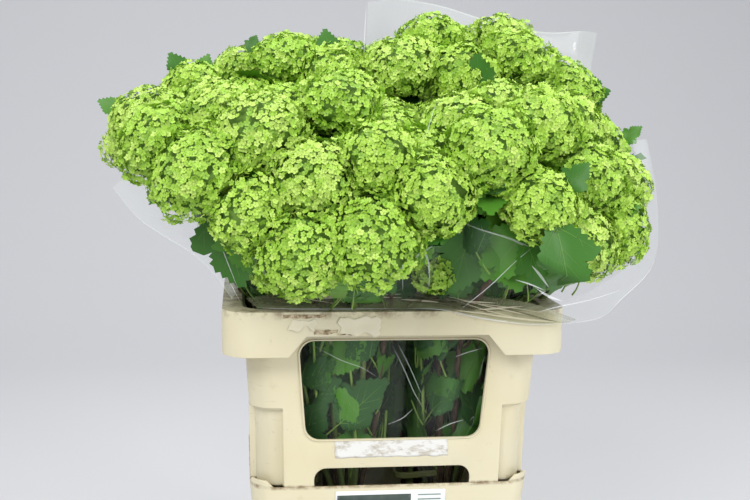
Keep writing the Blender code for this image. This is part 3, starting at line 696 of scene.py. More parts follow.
YOUNG_TWIG, OLD_TWIG = range(2)
OLD_BARK, YOUNG_BARK, BAND = range(3)
TWIG_RADIUS = 0.0019
TWIG_BEND = 0.006
RAY_RADIUS = 0.0008
RAYS = 6
RAY_WAY = (0.75, -0.30)


def twig_paths(shoot):
    """The forked twig of a shoot: its first stretch and one stretch to each head."""
    index, aim, foot, group = shoot
    below = stem_point(index, aim, foot.z - 0.03)
    rising = (foot - below).normalized()
    knee = foot + rising * STEM_RADIUS[1] * 2
    target = Vector(CENTRE[group].mean(0))
    fork = foot.lerp(target, FORK_SHARE)
    paths = [smooth_path([foot, knee, fork], 5)]
    for head in group:
        end = Vector(CENTRE[head])
        bend = fork.lerp(end, 0.5) + Vector((0, 0, TWIG_BEND))
        paths.append(smooth_path([fork, bend, end], 6))
    return paths


def make_twigs():
    surfaces = [plain_material("twig_green", TWIG_GREEN, 0.55),
                plain_material("twig_dark", TWIG_DARK, 0.6)]
    for index, name in enumerate(NAMES):
        draw = np.random.default_rng(TWIG_SEED + index)
        patches = Patches()
        for shoot in shoots_of(index):
            low, *branches = twig_paths(shoot)
            add_taper(patches, low, STEM_RADIUS[1], TWIG_RADIUS * 1.3, 7, OLD_TWIG)
            for head, path in zip(shoot[3], branches):
                add_taper(patches, path, TWIG_RADIUS * 1.15, TWIG_RADIUS, 6, YOUNG_TWIG)
                add_rays(patches, head, path[-4], draw)
        piece = patches.build(f"twigs_{name}", surfaces)
        piece.data.shade_smooth()
        finish_piece(piece)


def add_rays(patches, head, start, draw):
    """The short rays that spread from the end of a twig into the underside of a head."""
    turn = head_frame(OWNER[head], CENTRE[head])
    aside, down = RAY_WAY
    for ray in range(RAYS):
        angle = FULL_TURN * (ray + draw.uniform(-0.2, 0.2)) / RAYS
        way = turn @ np.array([math.cos(angle) * aside, math.sin(angle) * aside, down])
        end = CENTRE[head] + way * RADIUS[head]
        middle = (start + end) / 2 + turn @ np.array([0, 0, -0.002])
        path = smooth_path([Vector(start), Vector(middle), Vector(end)], 3)
        add_taper(patches, path, RAY_RADIUS, RAY_RADIUS, 4, YOUNG_TWIG)


STEM_SIDES = 12
BARK_DEPTH = 0.10
BARK_TONES = ((0.30, (0.030, 0.018, 0.010)), (0.55, (0.085, 0.050, 0.026)), (0.78, (0.17, 0.115, 0.070)))
BUDS = np.arange(0.03, 0.6, 0.075)
BUD_LENGTH = 0.004
BUD_SWELLING = 0.0011
TIE_LOW = 0.1955
TIE_TURNS = 3
TIE_RADIUS = 0.0022
TIE_SPREAD = 0.50


def make_stems():
    """Woody stems with ridged bark and swollen buds, held together by a band."""
    bark = plain_material("bark", BARK, 0.85)
    shade = Shading(bark)
    shade.finish(shade.ramp(shade.noise(90, 5, stretch=(3, 3, 0.5)), BARK_TONES))
    young = plain_material("young_bark", (0.115, 0.17, 0.040), 0.6)
    band = plain_material("tie_band", (0.30, 0.34, 0.12), 0.5)
    for index, name in enumerate(NAMES):
        patches = Patches()
        for number, (_, aim, foot, _) in enumerate(shoots_of(index)):
            levels = [z for z in STEM_LEVELS if z < foot.z - 0.01] + [foot.z]
            path = smooth_path([stem_point(index, aim, z) for z in levels], 9)
            add_stem(patches, path, number + index * 20, YOUNG_BARK if number % 3 == 2 else OLD_BARK)
        add_taper(patches, tie_path(index), TIE_RADIUS, TIE_RADIUS, 8, BAND)
        piece = patches.build(f"woody_stems_{name}", [bark, young, band])
        piece.data.shade_smooth()
        finish_piece(piece, nodes_named(f"stems_{name}"))


def add_stem(patches, path, number, slot):
    """A stem with long ridges round it and a swelling at each pair of buds."""
    length = np.concatenate([[0], np.cumsum(np.linalg.norm(np.diff(path, axis=0), axis=1))])
    base = np.interp(path[:, 2], [STEM_FLOOR, 0.6], STEM_RADIUS)
    swelling = np.exp(-((length[:, None] - BUDS[None]) / BUD_LENGTH) ** 2).sum(1)
    angle = FULL_TURN * np.arange(STEM_SIDES) / STEM_SIDES
    ridges = np.array([[noise.noise(Vector((math.cos(a) * 1.8, math.sin(a) * 1.8, s * 60 + number)))
                        for a in angle] for s in length])
    radii = base[:, None] * (1 + BARK_DEPTH * ridges) + BUD_SWELLING * swelling[:, None]
    add_tube(patches, path, radii, STEM_SIDES, slot)


def tie_path(index):
    """The turns of a rubber band round the waist of a bunch."""
    angle = np.linspace(0, TIE_TURNS * FULL_TURN, 91)
    z = TIE_LOW + TIE_RADIUS * angle / FULL_TURN
    return film_edge(index, angle, z, TIE_SPREAD)


# Leaves: three toothed lobes with raised veins

LEAF_ANCHORS = ((0.0, 0.035), (0.10, 0.20), (0.46, 0.47), (0.53, 0.23), (0.70, 0.27), (1.0, 0.0))
LEAF_TEETH = (2, 4, 1, 2, 4)
TOOTH_DEPTH = 0.046
LEAF_VEINS = (((0.0, 0.0), (0.97, 0.0), 0.0062), ((0.03, 0.0), (0.43, 0.42), 0.0046),
              ((0.30, 0.0), (0.62, 0.19), 0.0032), ((0.48, 0.0), (0.78, 0.17), 0.0028),
              ((0.22, 0.20), (0.16, 0.24), 0.0025), ((0.12, 0.09), (0.07, 0.17), 0.0025),
              ((0.26, 0.24), (0.46, 0.29), 0.0025))
SLEEVE_LEAVES = 150
LOWEST_SLEEVE_LEAF = 0.432
SLEEVE_LEAF_RISE = 0.145
SLEEVE_LEAF_SPREAD = (0.46, 0.95)
LOW_LEAVES = 62
LOW_LEAF_HEIGHTS = (0.256, 0.415)
LOW_OUTER_SPREAD = (0.62, 0.93)
LOW_INNER_SPREAD = (0.1, 0.6)
HEAD_LEAVES = 2
STALK_RADIUS = (0.0012, 0.0008)
GREEN_SHOOTS = 8
SHOOT_STEPS = (0, 0.35, 0.7, 1)
SHOOT_FOOT = (0.24, 0.30)
SHOOT_LENGTH = (0.10, 0.17)
SHOOT_RADIUS = (0.0021, 0.0015)
# How far a head is grown in the test, and the largest share of a leaf that may lie within it
UNDER_HEADS = (0.93, 0.22)
BESIDE_HEADS = (1.22, 0.30)
TRIES = 8
LEAF_LENGTH = (0.058, 0.098)
LOW_LENGTH = (0.045, 0.080)
HEAD_LEAF_LENGTH = (0.050, 0.075)
FILM_SHARE = 0.93
LOW_SHARE = 0.90
TIP_SHARE = 1.30
# Fold, droop, cup and wave of a leaf, and its width for its length
LEAF_SHAPE = ((0.05, 0.30), (0.05, 0.30), (-0.1, 0.5), (0.02, 0.09))
LEAF_WIDTH = (0.88, 1.10)
VEIN_LIFT = 0.00035
LEAF_SPECULAR = 0.28


def toothed_half():
    """One side of the outline, from the stalk to the tip, with teeth along it."""
    points = [LEAF_ANCHORS[0]]
    for (start, end), teeth in zip(zip(LEAF_ANCHORS, LEAF_ANCHORS[1:]), LEAF_TEETH):
        start, end = Vector(start), Vector(end)
        outward = Vector((start.y - end.y, end.x - start.x)).normalized()
        for tooth in range(teeth):
            low = start.lerp(end, (tooth + 0.62) / teeth) + outward * TOOTH_DEPTH
            high = start.lerp(end, (tooth + 1) / teeth)
            points += [tuple(low), tuple(high)]
    return points


def leaf_template():
    """A flat leaf as points and faces: its outline, with points along its middle and beside it."""
    half = toothed_half()
    outline = half + [(x, -y) for x, y in reversed(half[:-1])]
    inner = [(0.08 + 0.11 * step, 0.0) for step in range(8)]
    beside = ((0.15, 0.11), (0.29, 0.14), (0.30, 0.28), (0.45, 0.14), (0.60, 0.11), (0.75, 0.09))
    inner += [(x, side * y) for x, y in beside for side in (-1, 1)]
    work = bmesh.new()
    rim = [work.verts.new((x, y, 0)) for x, y in outline]
    work.faces.new(rim)
    bmesh.ops.triangulate(work, faces=work.faces)
    for x, y in inner:
        poke(work, x, y)
    bmesh.ops.beautify_fill(work, faces=work.faces, edges=work.edges)
    work.verts.index_update()
    points = np.array([vertex.co[:2] for vertex in work.verts])
    faces = [tuple(vertex.index for vertex in face.verts) for face in work.faces]
    work.free()
    return points, faces


def poke(work, x, y):
    """Add a point inside the triangle that holds it."""
    for face in work.faces:
        corners = [vertex.co for vertex in face.verts]
        sides = [(b.x - a.x) * (y - a.y) - (b.y - a.y) * (x - a.x)
                 for a, b in zip(corners, corners[1:] + corners[:1])]
        if min(sides) > 1e-9 or max(sides) < -1e-9:
            centre = bmesh.ops.poke(work, faces=[face])["verts"][0]
            centre.co = (x, y, 0)
            return


def bend_leaf(points, fold, droop, cup, wave, length):
    """Heights of a flat leaf's points once it is folded, drooped and waved."""
    forward, across = points[:, 0], points[:, 1]
    height = fold * np.abs(across) - droop * forward ** 2 - cup * across ** 2
    height += wave * np.sin(forward * 9 + np.sign(across) * 1.3) * np.abs(across) * 2
    return height * length


def leaf_veins():
    """Thin strips along the veins of both halves, as corners (strip * 4, 2)."""
    strips = []
    for start, end, width in LEAF_VEINS:
        for side in ((1,) if start[1] == end[1] == 0 else (1, -1)):
            first = np.array([start[0], start[1] * side])
            way = np.array([end[0], end[1] * side]) - first
            across = unit_length(np.array([-way[1], way[0]]))
            pieces = 6 if end[1] == 0 else 3
            for piece in range(pieces):
                near, far = piece / pieces, (piece + 1) / pieces
                here, there = first + way * near, first + way * far
                near_side = across * width * (1 - 0.8 * near)
                far_side = across * width * (1 - 0.8 * far)
                strips += [here + near_side, here - near_side, there - far_side, there + far_side]
    return np.array(strips)


LEAF_POINTS, LEAF_FACES = leaf_template()
LEAF_STRIPS = leaf_veins()


class Leaves:
    """The leaves of one bunch, kept inside its sleeve below the sleeve's edge."""

    def __init__(self, index, tops, draw):
        self.index, self.tops, self.draw = index, tops, draw
        self.blades, self.stalks = Patches(), Patches()

    def keep_inside(self, points, limit):
        """Press points that would leave the sleeve back inside it."""
        heights = np.clip(points[:, 2], REACH_LEVELS[0][0], REACH_LEVELS[-1][0])
        offset = plan_point(points[:, :2], reach_at(heights)) - SEEDS[self.index]
        angle = np.arctan2(offset[:, 1], offset[:, 0])
        length = np.hypot(offset[:, 0], offset[:, 1])
        most = cell_radius(self.index, angle, FILM_SEAM) * limit
        held = points[:, 2] < self.edge_at(angle)
        share = np.where(held & (length > most), most / np.maximum(length, 1e-9), 1.0)
        inside = film_real(self.index, offset * share[:, None], heights)
        pressed = np.where((share < 1)[:, None], inside, points)
        pressed[:, 2] = points[:, 2]
        return pressed

    def edge_at(self, angle):
        """The height of the sleeve's edge at each angle round the bunch."""
        count = len(self.tops)
        place = np.mod(angle, FULL_TURN) / FULL_TURN * count
        first = np.floor(place).astype(int) % count
        return self.tops[first] * (1 - place % 1) + self.tops[(first + 1) % count] * (place % 1)

    def add(self, base, along, face_way, length, green, stalk_from=None, limit=FILM_SHARE, pierced=None):
        """Add a leaf, unless it would lie in the heads by more than pierced allows."""
        along = unit_length(along)
        side = unit_length(np.cross(face_way, along))
        up = np.cross(along, side)
        shape = [self.draw.uniform(*span) for span in LEAF_SHAPE]
        width = self.draw.uniform(*LEAF_WIDTH)

        def placed(flat, lift):
            height = bend_leaf(flat, *shape, length)[:, None] + lift
            spot = base + along * flat[:, 0:1] * length + side * flat[:, 1:2] * length * width
            return self.keep_inside(spot + up * height, limit)

        blade = placed(LEAF_POINTS, 0.0)
        if pierced is not None and share_in_heads(blade, pierced[0]) > pierced[1]:
            return False
        self.blades.add(blade[None], LEAF_FACES, green)
        above = placed(LEAF_STRIPS, VEIN_LIFT).reshape(-1, 4, 3)
        below = placed(LEAF_STRIPS, -VEIN_LIFT).reshape(-1, 4, 3)
        for strips in (above, below[:, ::-1]):
            self.blades.add(strips, [(0, 1, 2, 3)], len(LEAF_GREENS))
        if stalk_from is not None:
            start = Vector(stalk_from)
            end = Vector(base + along * 0.002)
            middle = start.lerp(end, 0.5) + Vector(along) * -0.004
            add_taper(self.stalks, smooth_path([start, middle, end], 4), *STALK_RADIUS, 5, 0)
        return True


def share_in_heads(points, reach):
    """The share of the points that lie within the flower heads, grown by a factor."""
    distance = np.linalg.norm(points[:, None] - CENTRE[None], axis=-1)
    return (distance < RADIUS[None] * reach).any(1).mean()


def sleeve_tops(index):
    """The height of a sleeve's edge all round: it stops where a head leans over it."""
    sides, step = FILM_SIDES, FILM_STEP
    front, beside, back = BUNCHES[NAMES[index]]["film"]
    angle = np.arange(sides) * FULL_TURN / sides
    facing = np.sin(angle)
    wanted = RIM_TOP + beside + (back - beside) * np.clip(facing, 0, 1)
    wanted += (front - beside) * np.clip(-facing, 0, 1)
    tops = np.full(sides, FILM_LOW)
    growing = np.ones(sides, bool)
    while growing.any():
        points = film_edge(index, angle, tops)
        distance = np.linalg.norm(points[:, None] - CENTRE[None], axis=-1)
        near = (distance < RADIUS[None] * 0.98 + FILM_CLEARANCE).any(1)
        growing &= ~near & (tops < wanted)
        tops = np.where(growing, tops + step, tops)
    for _ in range(3):
        tops = np.minimum(tops, (np.roll(tops, 1) + tops + np.roll(tops, -1)) / 3)
    return tops


TOPS = [sleeve_tops(index) for index in range(len(NAMES))]


def grow_sleeve_leaves(leaves):
    """Leaves that lie against the inside of a sleeve, tips up and faces outwards."""
    index, draw = leaves.index, leaves.draw
    for number in range(SLEEVE_LEAVES):
        angle = np.array(FULL_TURN * (number * GOLDEN_SHARE % 1) + draw.uniform(-0.1, 0.1))
        z = LOWEST_SLEEVE_LEAF + SLEEVE_LEAF_RISE * draw.random() ** 1.4
        spread = draw.uniform(*SLEEVE_LEAF_SPREAD)
        base = film_edge(index, angle, z, spread)
        beyond = film_edge(index, angle, z + 0.04, min(spread + 0.35, 1.15))
        outward = unit_length((beyond - base) * (1, 1, 0))
        aside = np.cross(UP, outward)
        along = UP * draw.uniform(0.5, 1.0) + aside * draw.uniform(-0.8, 0.8)
        along += outward * draw.uniform(-0.1, 0.5)
        face_way = outward + UP * draw.uniform(0.0, 0.8) + aside * draw.uniform(-0.5, 0.5)
        length = draw.uniform(*LEAF_LENGTH)
        green = int(draw.choice((0, 0, 1, 1, 2)))
        stalk = base - unit_length(along) * 0.025 - outward * 0.012
        leaves.add(base, along, face_way, length, green, stalk, pierced=BESIDE_HEADS)


def grow_low_leaves(leaves):
    """Leaves in the throat of the container, behind its windows."""
    index, draw = leaves.index, leaves.draw
    for number in range(LOW_LEAVES):
        angle = np.array(draw.uniform(0, FULL_TURN))
        z = draw.uniform(*LOW_LEAF_HEIGHTS)
        spread = draw.uniform(*(LOW_OUTER_SPREAD if number % 3 else LOW_INNER_SPREAD))
        base = film_edge(index, angle, z, spread)
        outward = unit_length(film_edge(index, angle, z, 1.2) - base)
        aside = np.cross(UP, outward)
        along = UP * draw.uniform(0.3, 1.0) + aside * draw.uniform(-1.0, 1.0)
        face_way = outward + UP * draw.uniform(-0.5, 0.5) + aside * draw.uniform(-0.8, 0.8)
        length = draw.uniform(*LOW_LENGTH)
        green = int(draw.choice((0, 2, 2, 1)))
        stalk = base - unit_length(along) * 0.03 - outward * 0.01
        leaves.add(base, along, face_way, length, green, stalk, LOW_SHARE)


def grow_head_leaves(leaves):
    """Pairs of leaves below each head, whose tips show between the heads."""
    draw = leaves.draw
    for head in np.repeat(np.flatnonzero(OWNER == leaves.index), HEAD_LEAVES):
        turn = head_frame(leaves.index, CENTRE[head])
        axis = turn[:, 2]
        for _ in range(TRIES):
            angle = draw.uniform(0, FULL_TURN)
            flat = turn @ np.array([math.cos(angle), math.sin(angle), 0])
            base = CENTRE[head] - axis * RADIUS[head] * draw.uniform(0.85, 1.30) + flat * 0.012
            along = flat * draw.uniform(0.6, 1.0) + axis * draw.uniform(0.10, 0.70)
            face_way = axis + flat * draw.uniform(-0.3, 0.6)
            stalk = base - flat * 0.012 - axis * 0.012
            green = int(draw.choice((0, 1, 3)))
            length = draw.uniform(*HEAD_LEAF_LENGTH)
            if leaves.add(base, along, face_way, length, green, stalk, pierced=UNDER_HEADS):
                break


def grow_shoots(leaves):
    """Thin curved green shoots among the low leaves."""
    draw = leaves.draw
    for _ in range(GREEN_SHOOTS):
        angle = draw.uniform(0, FULL_TURN)
        turn = draw.uniform(-0.7, 0.7)
        spread = draw.uniform(0.70, 0.94)
        low = draw.uniform(*SHOOT_FOOT)
        path = []
        for share in SHOOT_STEPS:
            z = low + share * draw.uniform(*SHOOT_LENGTH)
            way = np.array(angle + turn * share ** 2)
            path.append(Vector(film_edge(leaves.index, way, z, spread - 0.12 * (1 - share))))
        add_taper(leaves.stalks, smooth_path(path, 5), *SHOOT_RADIUS, 6, 0)


def grow_tips(leaves):
    """Single leaves and tips of leaves between the heads, in the gap and behind the window."""
    for foot, along, face_way, length in TIP_LEAVES[NAMES[leaves.index]]:
        foot = np.array(foot) - np.array(along) * length * (TIP_GROWTH - 1)
        green = int(leaves.draw.choice((0, 1, 1, 0)))
        leaves.add(foot, along, face_way, length * TIP_GROWTH, green, limit=TIP_SHARE)


# Single leaves that show, by bunch: foot, way it points, way it faces, length
TIP_LEAVES = {
    "front_left": (
        ((-0.188, -0.2, 0.619), (0.55, -0.29, 0.78), (-0.2, -1, 0.4), 0.034),
        ((-0.014, -0.2, 0.59), (-0.43, -0.25, -0.87), (0.2, -1, 0.2), 0.06),
        ((-0.024, -0.2, 0.553), (0.13, -0.18, -0.97), (-0.2, -1, 0.1), 0.054),
        ((-0.038, -0.2, 0.536), (-0.22, -0.1, -0.97), (0.2, -1, 0), 0.05),
        ((-0.018, -0.195, 0.512), (-0.3, 0.0, -0.95), (0.0, -1, 0.2), 0.035),
        ((-0.074, -0.19, 0.511), (-0.71, -0.23, -0.67), (0.1, -1, 0.3), 0.043),
        ((-0.115, -0.19, 0.511), (-0.32, -0.29, -0.9), (-0.1, -1, 0.2), 0.035),
        ((-0.196, -0.17, 0.553), (0.21, 0.06, -0.98), (-0.4, -1, 0), 0.077),
        ((-0.182, -0.18, 0.55), (0.26, 0.09, -0.96), (-0.2, -1, 0), 0.057),
        ((-0.167, -0.21, 0.611), (-0.66, 0.39, -0.65), (-0.3, -1, 0.3), 0.025),
    ),
    "front_right": (
        ((0.285, 0.04, 0.695), (-0.22, -0.3, 0.93), (0.1, -1, 0.1), 0.033),
        ((0.305, -0.02, 0.644), (0.6, -0.39, 0.7), (0.2, -0.8, 0.8), 0.026),
        ((0.246, -0.16, 0.561), (0.55, -0.37, -0.75), (0.3, -1, 0.3), 0.054),
        ((0.236, -0.17, 0.562), (0.89, -0.29, 0.35), (0.2, -0.8, 0.8), 0.035),
        ((0.152, -0.26, 0.543), (0.25, -0.22, -0.94), (0.2, -1, 0.2), 0.068),
        ((0.168, -0.235, 0.599), (0.52, -0.33, 0.79), (-0.2, -1, 0.4), 0.03),
        ((0.055, -0.22, 0.576), (0.41, -0.4, 0.82), (-0.2, -1, 0.4), 0.05),
        ((0.08, -0.235, 0.599), (0.66, -0.29, 0.69), (-0.3, -1, 0.4), 0.034),
        ((0.019, -0.17, 0.561), (0.47, -0.33, -0.82), (0.0, -1, 0.2), 0.061),
        ((0.039, -0.18, 0.551), (0.48, -0.14, -0.87), (0.2, -1, 0.1), 0.069),
        ((0.069, -0.2, 0.545), (-0.26, 0.0, -0.97), (-0.2, -1, 0.2), 0.072),
        ((0.12, -0.22, 0.541), (-0.65, -0.08, -0.76), (0.1, -1, 0.3), 0.059),
        ((0.106, -0.21, 0.538), (0.27, -0.17, -0.95), (0.1, -1, 0.1), 0.059),
        ((0.128, -0.23, 0.529), (0.4, -0.1, -0.91), (0.1, -1, 0.1), 0.049),
        ((0.016, -0.18, 0.6), (0.6, 0.54, 0.59), (0.0, -1, 0.3), 0.111),
        ((0.013, -0.17, 0.555), (-0.17, -0.11, -0.98), (0.1, -1, 0.1), 0.047),
    ),
    "left": (
        ((-0.324, 0.062, 0.668), (-0.84, -0.19, 0.51), (0, -1, 0.3), 0.036),
        ((-0.248, 0.05, 0.709), (-0.39, -0.12, 0.91), (0.3, -1, 0.2), 0.04),
        ((-0.229, 0.045, 0.712), (0.23, -0.15, 0.96), (-0.3, -1, 0.2), 0.033),
    ),
    "back_left": (
        ((-0.166, 0.1, 0.756), (0.42, 0.0, 0.91), (0, -1, 0.5), 0.019),
        ((-0.063, 0.08, 0.739), (-0.07, 0.0, 1.0), (0.2, -1, 0.2), 0.044),
        ((0.011, 0.045, 0.232), (-0.02, 0.0, 1.0), (0.0, -1.0, 0.1), 0.06),
        ((-0.004, 0.05, 0.231), (-0.19, 0.0, 0.98), (0.0, -1.0, 0.1), 0.06),
    ),
    "back_right": (
        ((0.01, 0.05, 0.731), (-0.45, -0.48, 0.76), (0.1, -1, 0.2), 0.021),
        ((0.114, -0.02, 0.685), (-0.09, -0.49, 0.87), (0, -1, 0.1), 0.062),
        ((0.214, 0.09, 0.759), (-0.23, 0.0, 0.97), (0, -1, 0.3), 0.014),
        ((0.034, 0.05, 0.23), (-0.12, 0.0, 0.99), (0.0, -1.0, 0.1), 0.06),
    ),
}
TIP_GROWTH = 1.25


def make_leaves():
    surfaces = [plain_material(f"leaf_{number}", colour, 0.45, Specular_IOR_Level=LEAF_SPECULAR)
                for number, colour in enumerate(LEAF_GREENS)]
    surfaces.append(plain_material("leaf_veins", VEIN_GREEN, 0.5, Specular_IOR_Level=LEAF_SPECULAR))
    stalk_green = plain_material("leaf_stalks", STALK_GREEN, 0.5)
    for index, name in enumerate(NAMES):
        leaves = Leaves(index, TOPS[index], np.random.default_rng(LEAF_SEED + index))
        grow_sleeve_leaves(leaves)
        grow_low_leaves(leaves)
        grow_head_leaves(leaves)
        grow_shoots(leaves)
        grow_tips(leaves)
        piece = leaves.blades.build(f"leaves_{name}", surfaces)
        for polygon in piece.data.polygons:
            polygon.use_smooth = polygon.material_index < len(LEAF_GREENS)
        finish_piece(piece)
        finish_piece(leaves.stalks.build(f"leaf_stalks_{name}", [stalk_green]))


# Film sleeves

# The looks of the film: name, colour, roughness, opacity and specular level
CLEAR, CREASE_HIGHLIGHT, GLINT, LOOSE, BUNCHED, STREAK_HIGHLIGHT, STREAK_SHADE = range(7)
FILM_LOOKS = (
    ("clear_film", (0.86, 0.92, 0.88), 0.08, 0.03, 1.0),
    # Creases and edges: doubled film whose paler, denser colour is a painted highlight
    ("film_crease_highlights", (0.90, 0.94, 0.92), 0.14, 0.30, 1.0),
    ("film_glints", (0.96, 0.98, 0.98), 0.10, 0.46, 1.0),
    ("loose_film", (0.88, 0.92, 0.90), 0.10, 0.15, 1.0),
    ("bunched_film", (0.42, 0.43, 0.25), 0.35, 0.45, 0.6),
    # Streaks on the bunched film: painted highlights on its folds and painted shade in its creases
    ("film_highlight_streaks", (0.70, 0.64, 0.45), 0.40, 0.75, 0.5),
    ("film_shade_streaks", (0.11, 0.10, 0.045), 0.50, 0.75, 0.5),
)
FILM_ROWS = 44
LONG_FOLD, SLANTING_FOLD, FINE_FOLD = 0.0060, 0.0042, 0.0006
FOLD_LIFT = 0.0006
EDGE_WIDTH = 0.0013
CREASE_STEPS = 24
FLAP_ROWS = 7
FLAP_RIPPLE = 0.007
FLAP_RIPPLE_WAY = np.array([0, -1.0, 0.4])
FLAP_EDGE_WIDTH = 0.0016
BUNCHED_STREAKS = 16
STREAK_WIDTH = (0.0008, 0.0022)
STREAK_LIFT = np.array([0, -0.004, 0.001])
SLEEVE_FOOT = 0.2069
SLEEVE_SPREAD = ((0.2069, 0.50), (0.226, 0.66), (0.29, 0.985), (0.90, 0.985))


def film_sheet(index):
    """The points of a sleeve, row by row from its foot to its edge, with its wrinkles."""
    angle = np.arange(FILM_SIDES) * FULL_TURN / FILM_SIDES
    heights, spreads = zip(*SLEEVE_SPREAD)
    rows = []
    for share in np.linspace(0, 1, FILM_ROWS):
        z = SLEEVE_FOOT + (TOPS[index] - SLEEVE_FOOT) * share
        rows.append(film_edge(index, angle, z, np.interp(z, heights, spreads)))
    points = np.array(rows)
    outward = unit_length((points - points.mean(1, keepdims=True)) * (1, 1, 0))
    for row in range(FILM_ROWS):
        for side in range(FILM_SIDES):
            depth = wrinkle(index, angle[side], points[row, side, 2])
            points[row, side] -= outward[row, side] * depth
    return points


def wrinkle(index, angle, z):
    """Depth of the film's folds, which run up from the tie and across each other."""
    around = Vector((math.cos(angle), math.sin(angle), 0))
    long_folds = abs(noise.noise(Vector((around.x * 3.2, around.y * 3.2, z * 3.0 + index * 9))))
    slanting = abs(noise.noise(Vector((around.x * 5.0 + z * 8, around.y * 5.0, z * 9.0 + index * 5))))
    fine = noise.noise(Vector((around.x * 14, around.y * 14 + z * 22, index)))
    deep = LONG_FOLD * (0.5 - min(long_folds, 0.5)) + SLANTING_FOLD * (0.5 - min(slanting, 0.5))
    return deep + FINE_FOLD * fine


FILM_POINTS = [film_sheet(index) for index in range(len(NAMES))]


def on_film(index, angle, z):
    """A place on the wrinkled sleeve, for a fold that lies along it."""
    tops, sheet = TOPS[index], FILM_POINTS[index]
    place = (angle % FULL_TURN) / FULL_TURN * FILM_SIDES
    first, part = int(place) % FILM_SIDES, place % 1
    second = (first + 1) % FILM_SIDES
    top = tops[first] * (1 - part) + tops[second] * part
    row = min(max((z - SLEEVE_FOOT) / (top - SLEEVE_FOOT), 0), 1) * (FILM_ROWS - 1)
    low = min(int(row), FILM_ROWS - 2)
    here, above = sheet[low:low + 2, first] * (1 - part) + sheet[low:low + 2, second] * part
    point = here * (1 - (row - low)) + above * (row - low)
    return point + unit_length((point - sheet[low].mean(0)) * (1, 1, 0)) * FOLD_LIFT


# Creases of each sleeve: start angle in degrees and height, end angle and height, width
CREASES = {
    "front_left": ((203, 0.575, 262, 0.475, 0.0024), (203, 0.575, 222, 0.47, 0.004),
                   (203, 0.575, 192, 0.62, 0.003), (300, 0.6, 318, 0.47, 0.002),
                   (338, 0.64, 332, 0.47, 0.004)),
    "front_right": ((213, 0.61, 206, 0.47, 0.0045), (240, 0.56, 290, 0.49, 0.002),
                    (280, 0.5, 320, 0.53, 0.003), (330, 0.6, 318, 0.49, 0.003),
                    (20, 0.6, 350, 0.5, 0.003)),
    "left": ((170, 0.64, 196, 0.5, 0.003), (215, 0.62, 240, 0.52, 0.003), (120, 0.6, 140, 0.5, 0.002)),
    "back_left": ((95, 0.7, 100, 0.52, 0.003), (60, 0.66, 75, 0.52, 0.002),
                  (140, 0.66, 130, 0.5, 0.003)),
    "back_right": ((215, 0.82, 232, 0.66, 0.003), (320, 0.8, 322, 0.62, 0.003),
                   (30, 0.78, 20, 0.55, 0.003), (80, 0.8, 90, 0.55, 0.003)),
}


# Loose and bunched sheets of film: sleeve, look, the outer edge and the inner edge
FLAPS = (
    ("left", LOOSE,
     ((-0.334, 0.0, 0.578), (-0.302, -0.04, 0.547), (-0.267, -0.08, 0.528), (-0.236, -0.11, 0.513),
      (-0.21, -0.13, 0.492), (-0.188, -0.14, 0.463)),
     ((-0.264, 0.0, 0.643), (-0.26, -0.04, 0.608), (-0.229, -0.12, 0.567), (-0.215, -0.145, 0.544),
      (-0.199, -0.15, 0.513), (-0.184, -0.145, 0.472))),
    ("front_right", LOOSE,
     ((0.326, -0.04, 0.645), (0.319, -0.1, 0.574), (0.307, -0.13, 0.503), (0.256, -0.16, 0.462),
      (0.233, -0.16, 0.442), (0.191, -0.165, 0.436)),
     ((0.3, -0.06, 0.645), (0.282, -0.14, 0.577), (0.261, -0.18, 0.514), (0.214, -0.21, 0.488),
      (0.184, -0.2, 0.47), (0.161, -0.18, 0.457))),
    ("back_right", LOOSE,
     ((-0.012, 0.1, 0.819), (0.038, 0.15, 0.829), (0.101, 0.19, 0.826), (0.152, 0.17, 0.809),
      (0.191, 0.13, 0.794), (0.234, 0.1, 0.785), (0.272, 0.08, 0.786), (0.289, 0.06, 0.783)),
     ((-0.015, 0.08, 0.73), (0.037, 0.13, 0.746), (0.097, 0.16, 0.749), (0.147, 0.14, 0.749),
      (0.188, 0.11, 0.748), (0.23, 0.08, 0.74), (0.26, 0.06, 0.721), (0.273, 0.04, 0.708))),
    ("front_left", BUNCHED,
     ((-0.16, -0.131, 0.451), (-0.112, -0.137, 0.4505), (-0.055, -0.139, 0.4505),
      (0.005, -0.14, 0.4505)),
     ((-0.173, -0.11, 0.459), (-0.122, -0.115, 0.467), (-0.065, -0.118, 0.473), (0.005, -0.12, 0.473))),
    ("front_right", BUNCHED,
     ((0.003, -0.141, 0.4505), (0.049, -0.148, 0.4505), (0.095, -0.153, 0.441), (0.153, -0.154, 0.434),
      (0.196, -0.155, 0.435)),
     ((0.005, -0.12, 0.471), (0.05, -0.13, 0.468), (0.095, -0.14, 0.465), (0.152, -0.15, 0.458),
      (0.205, -0.16, 0.44))),
)
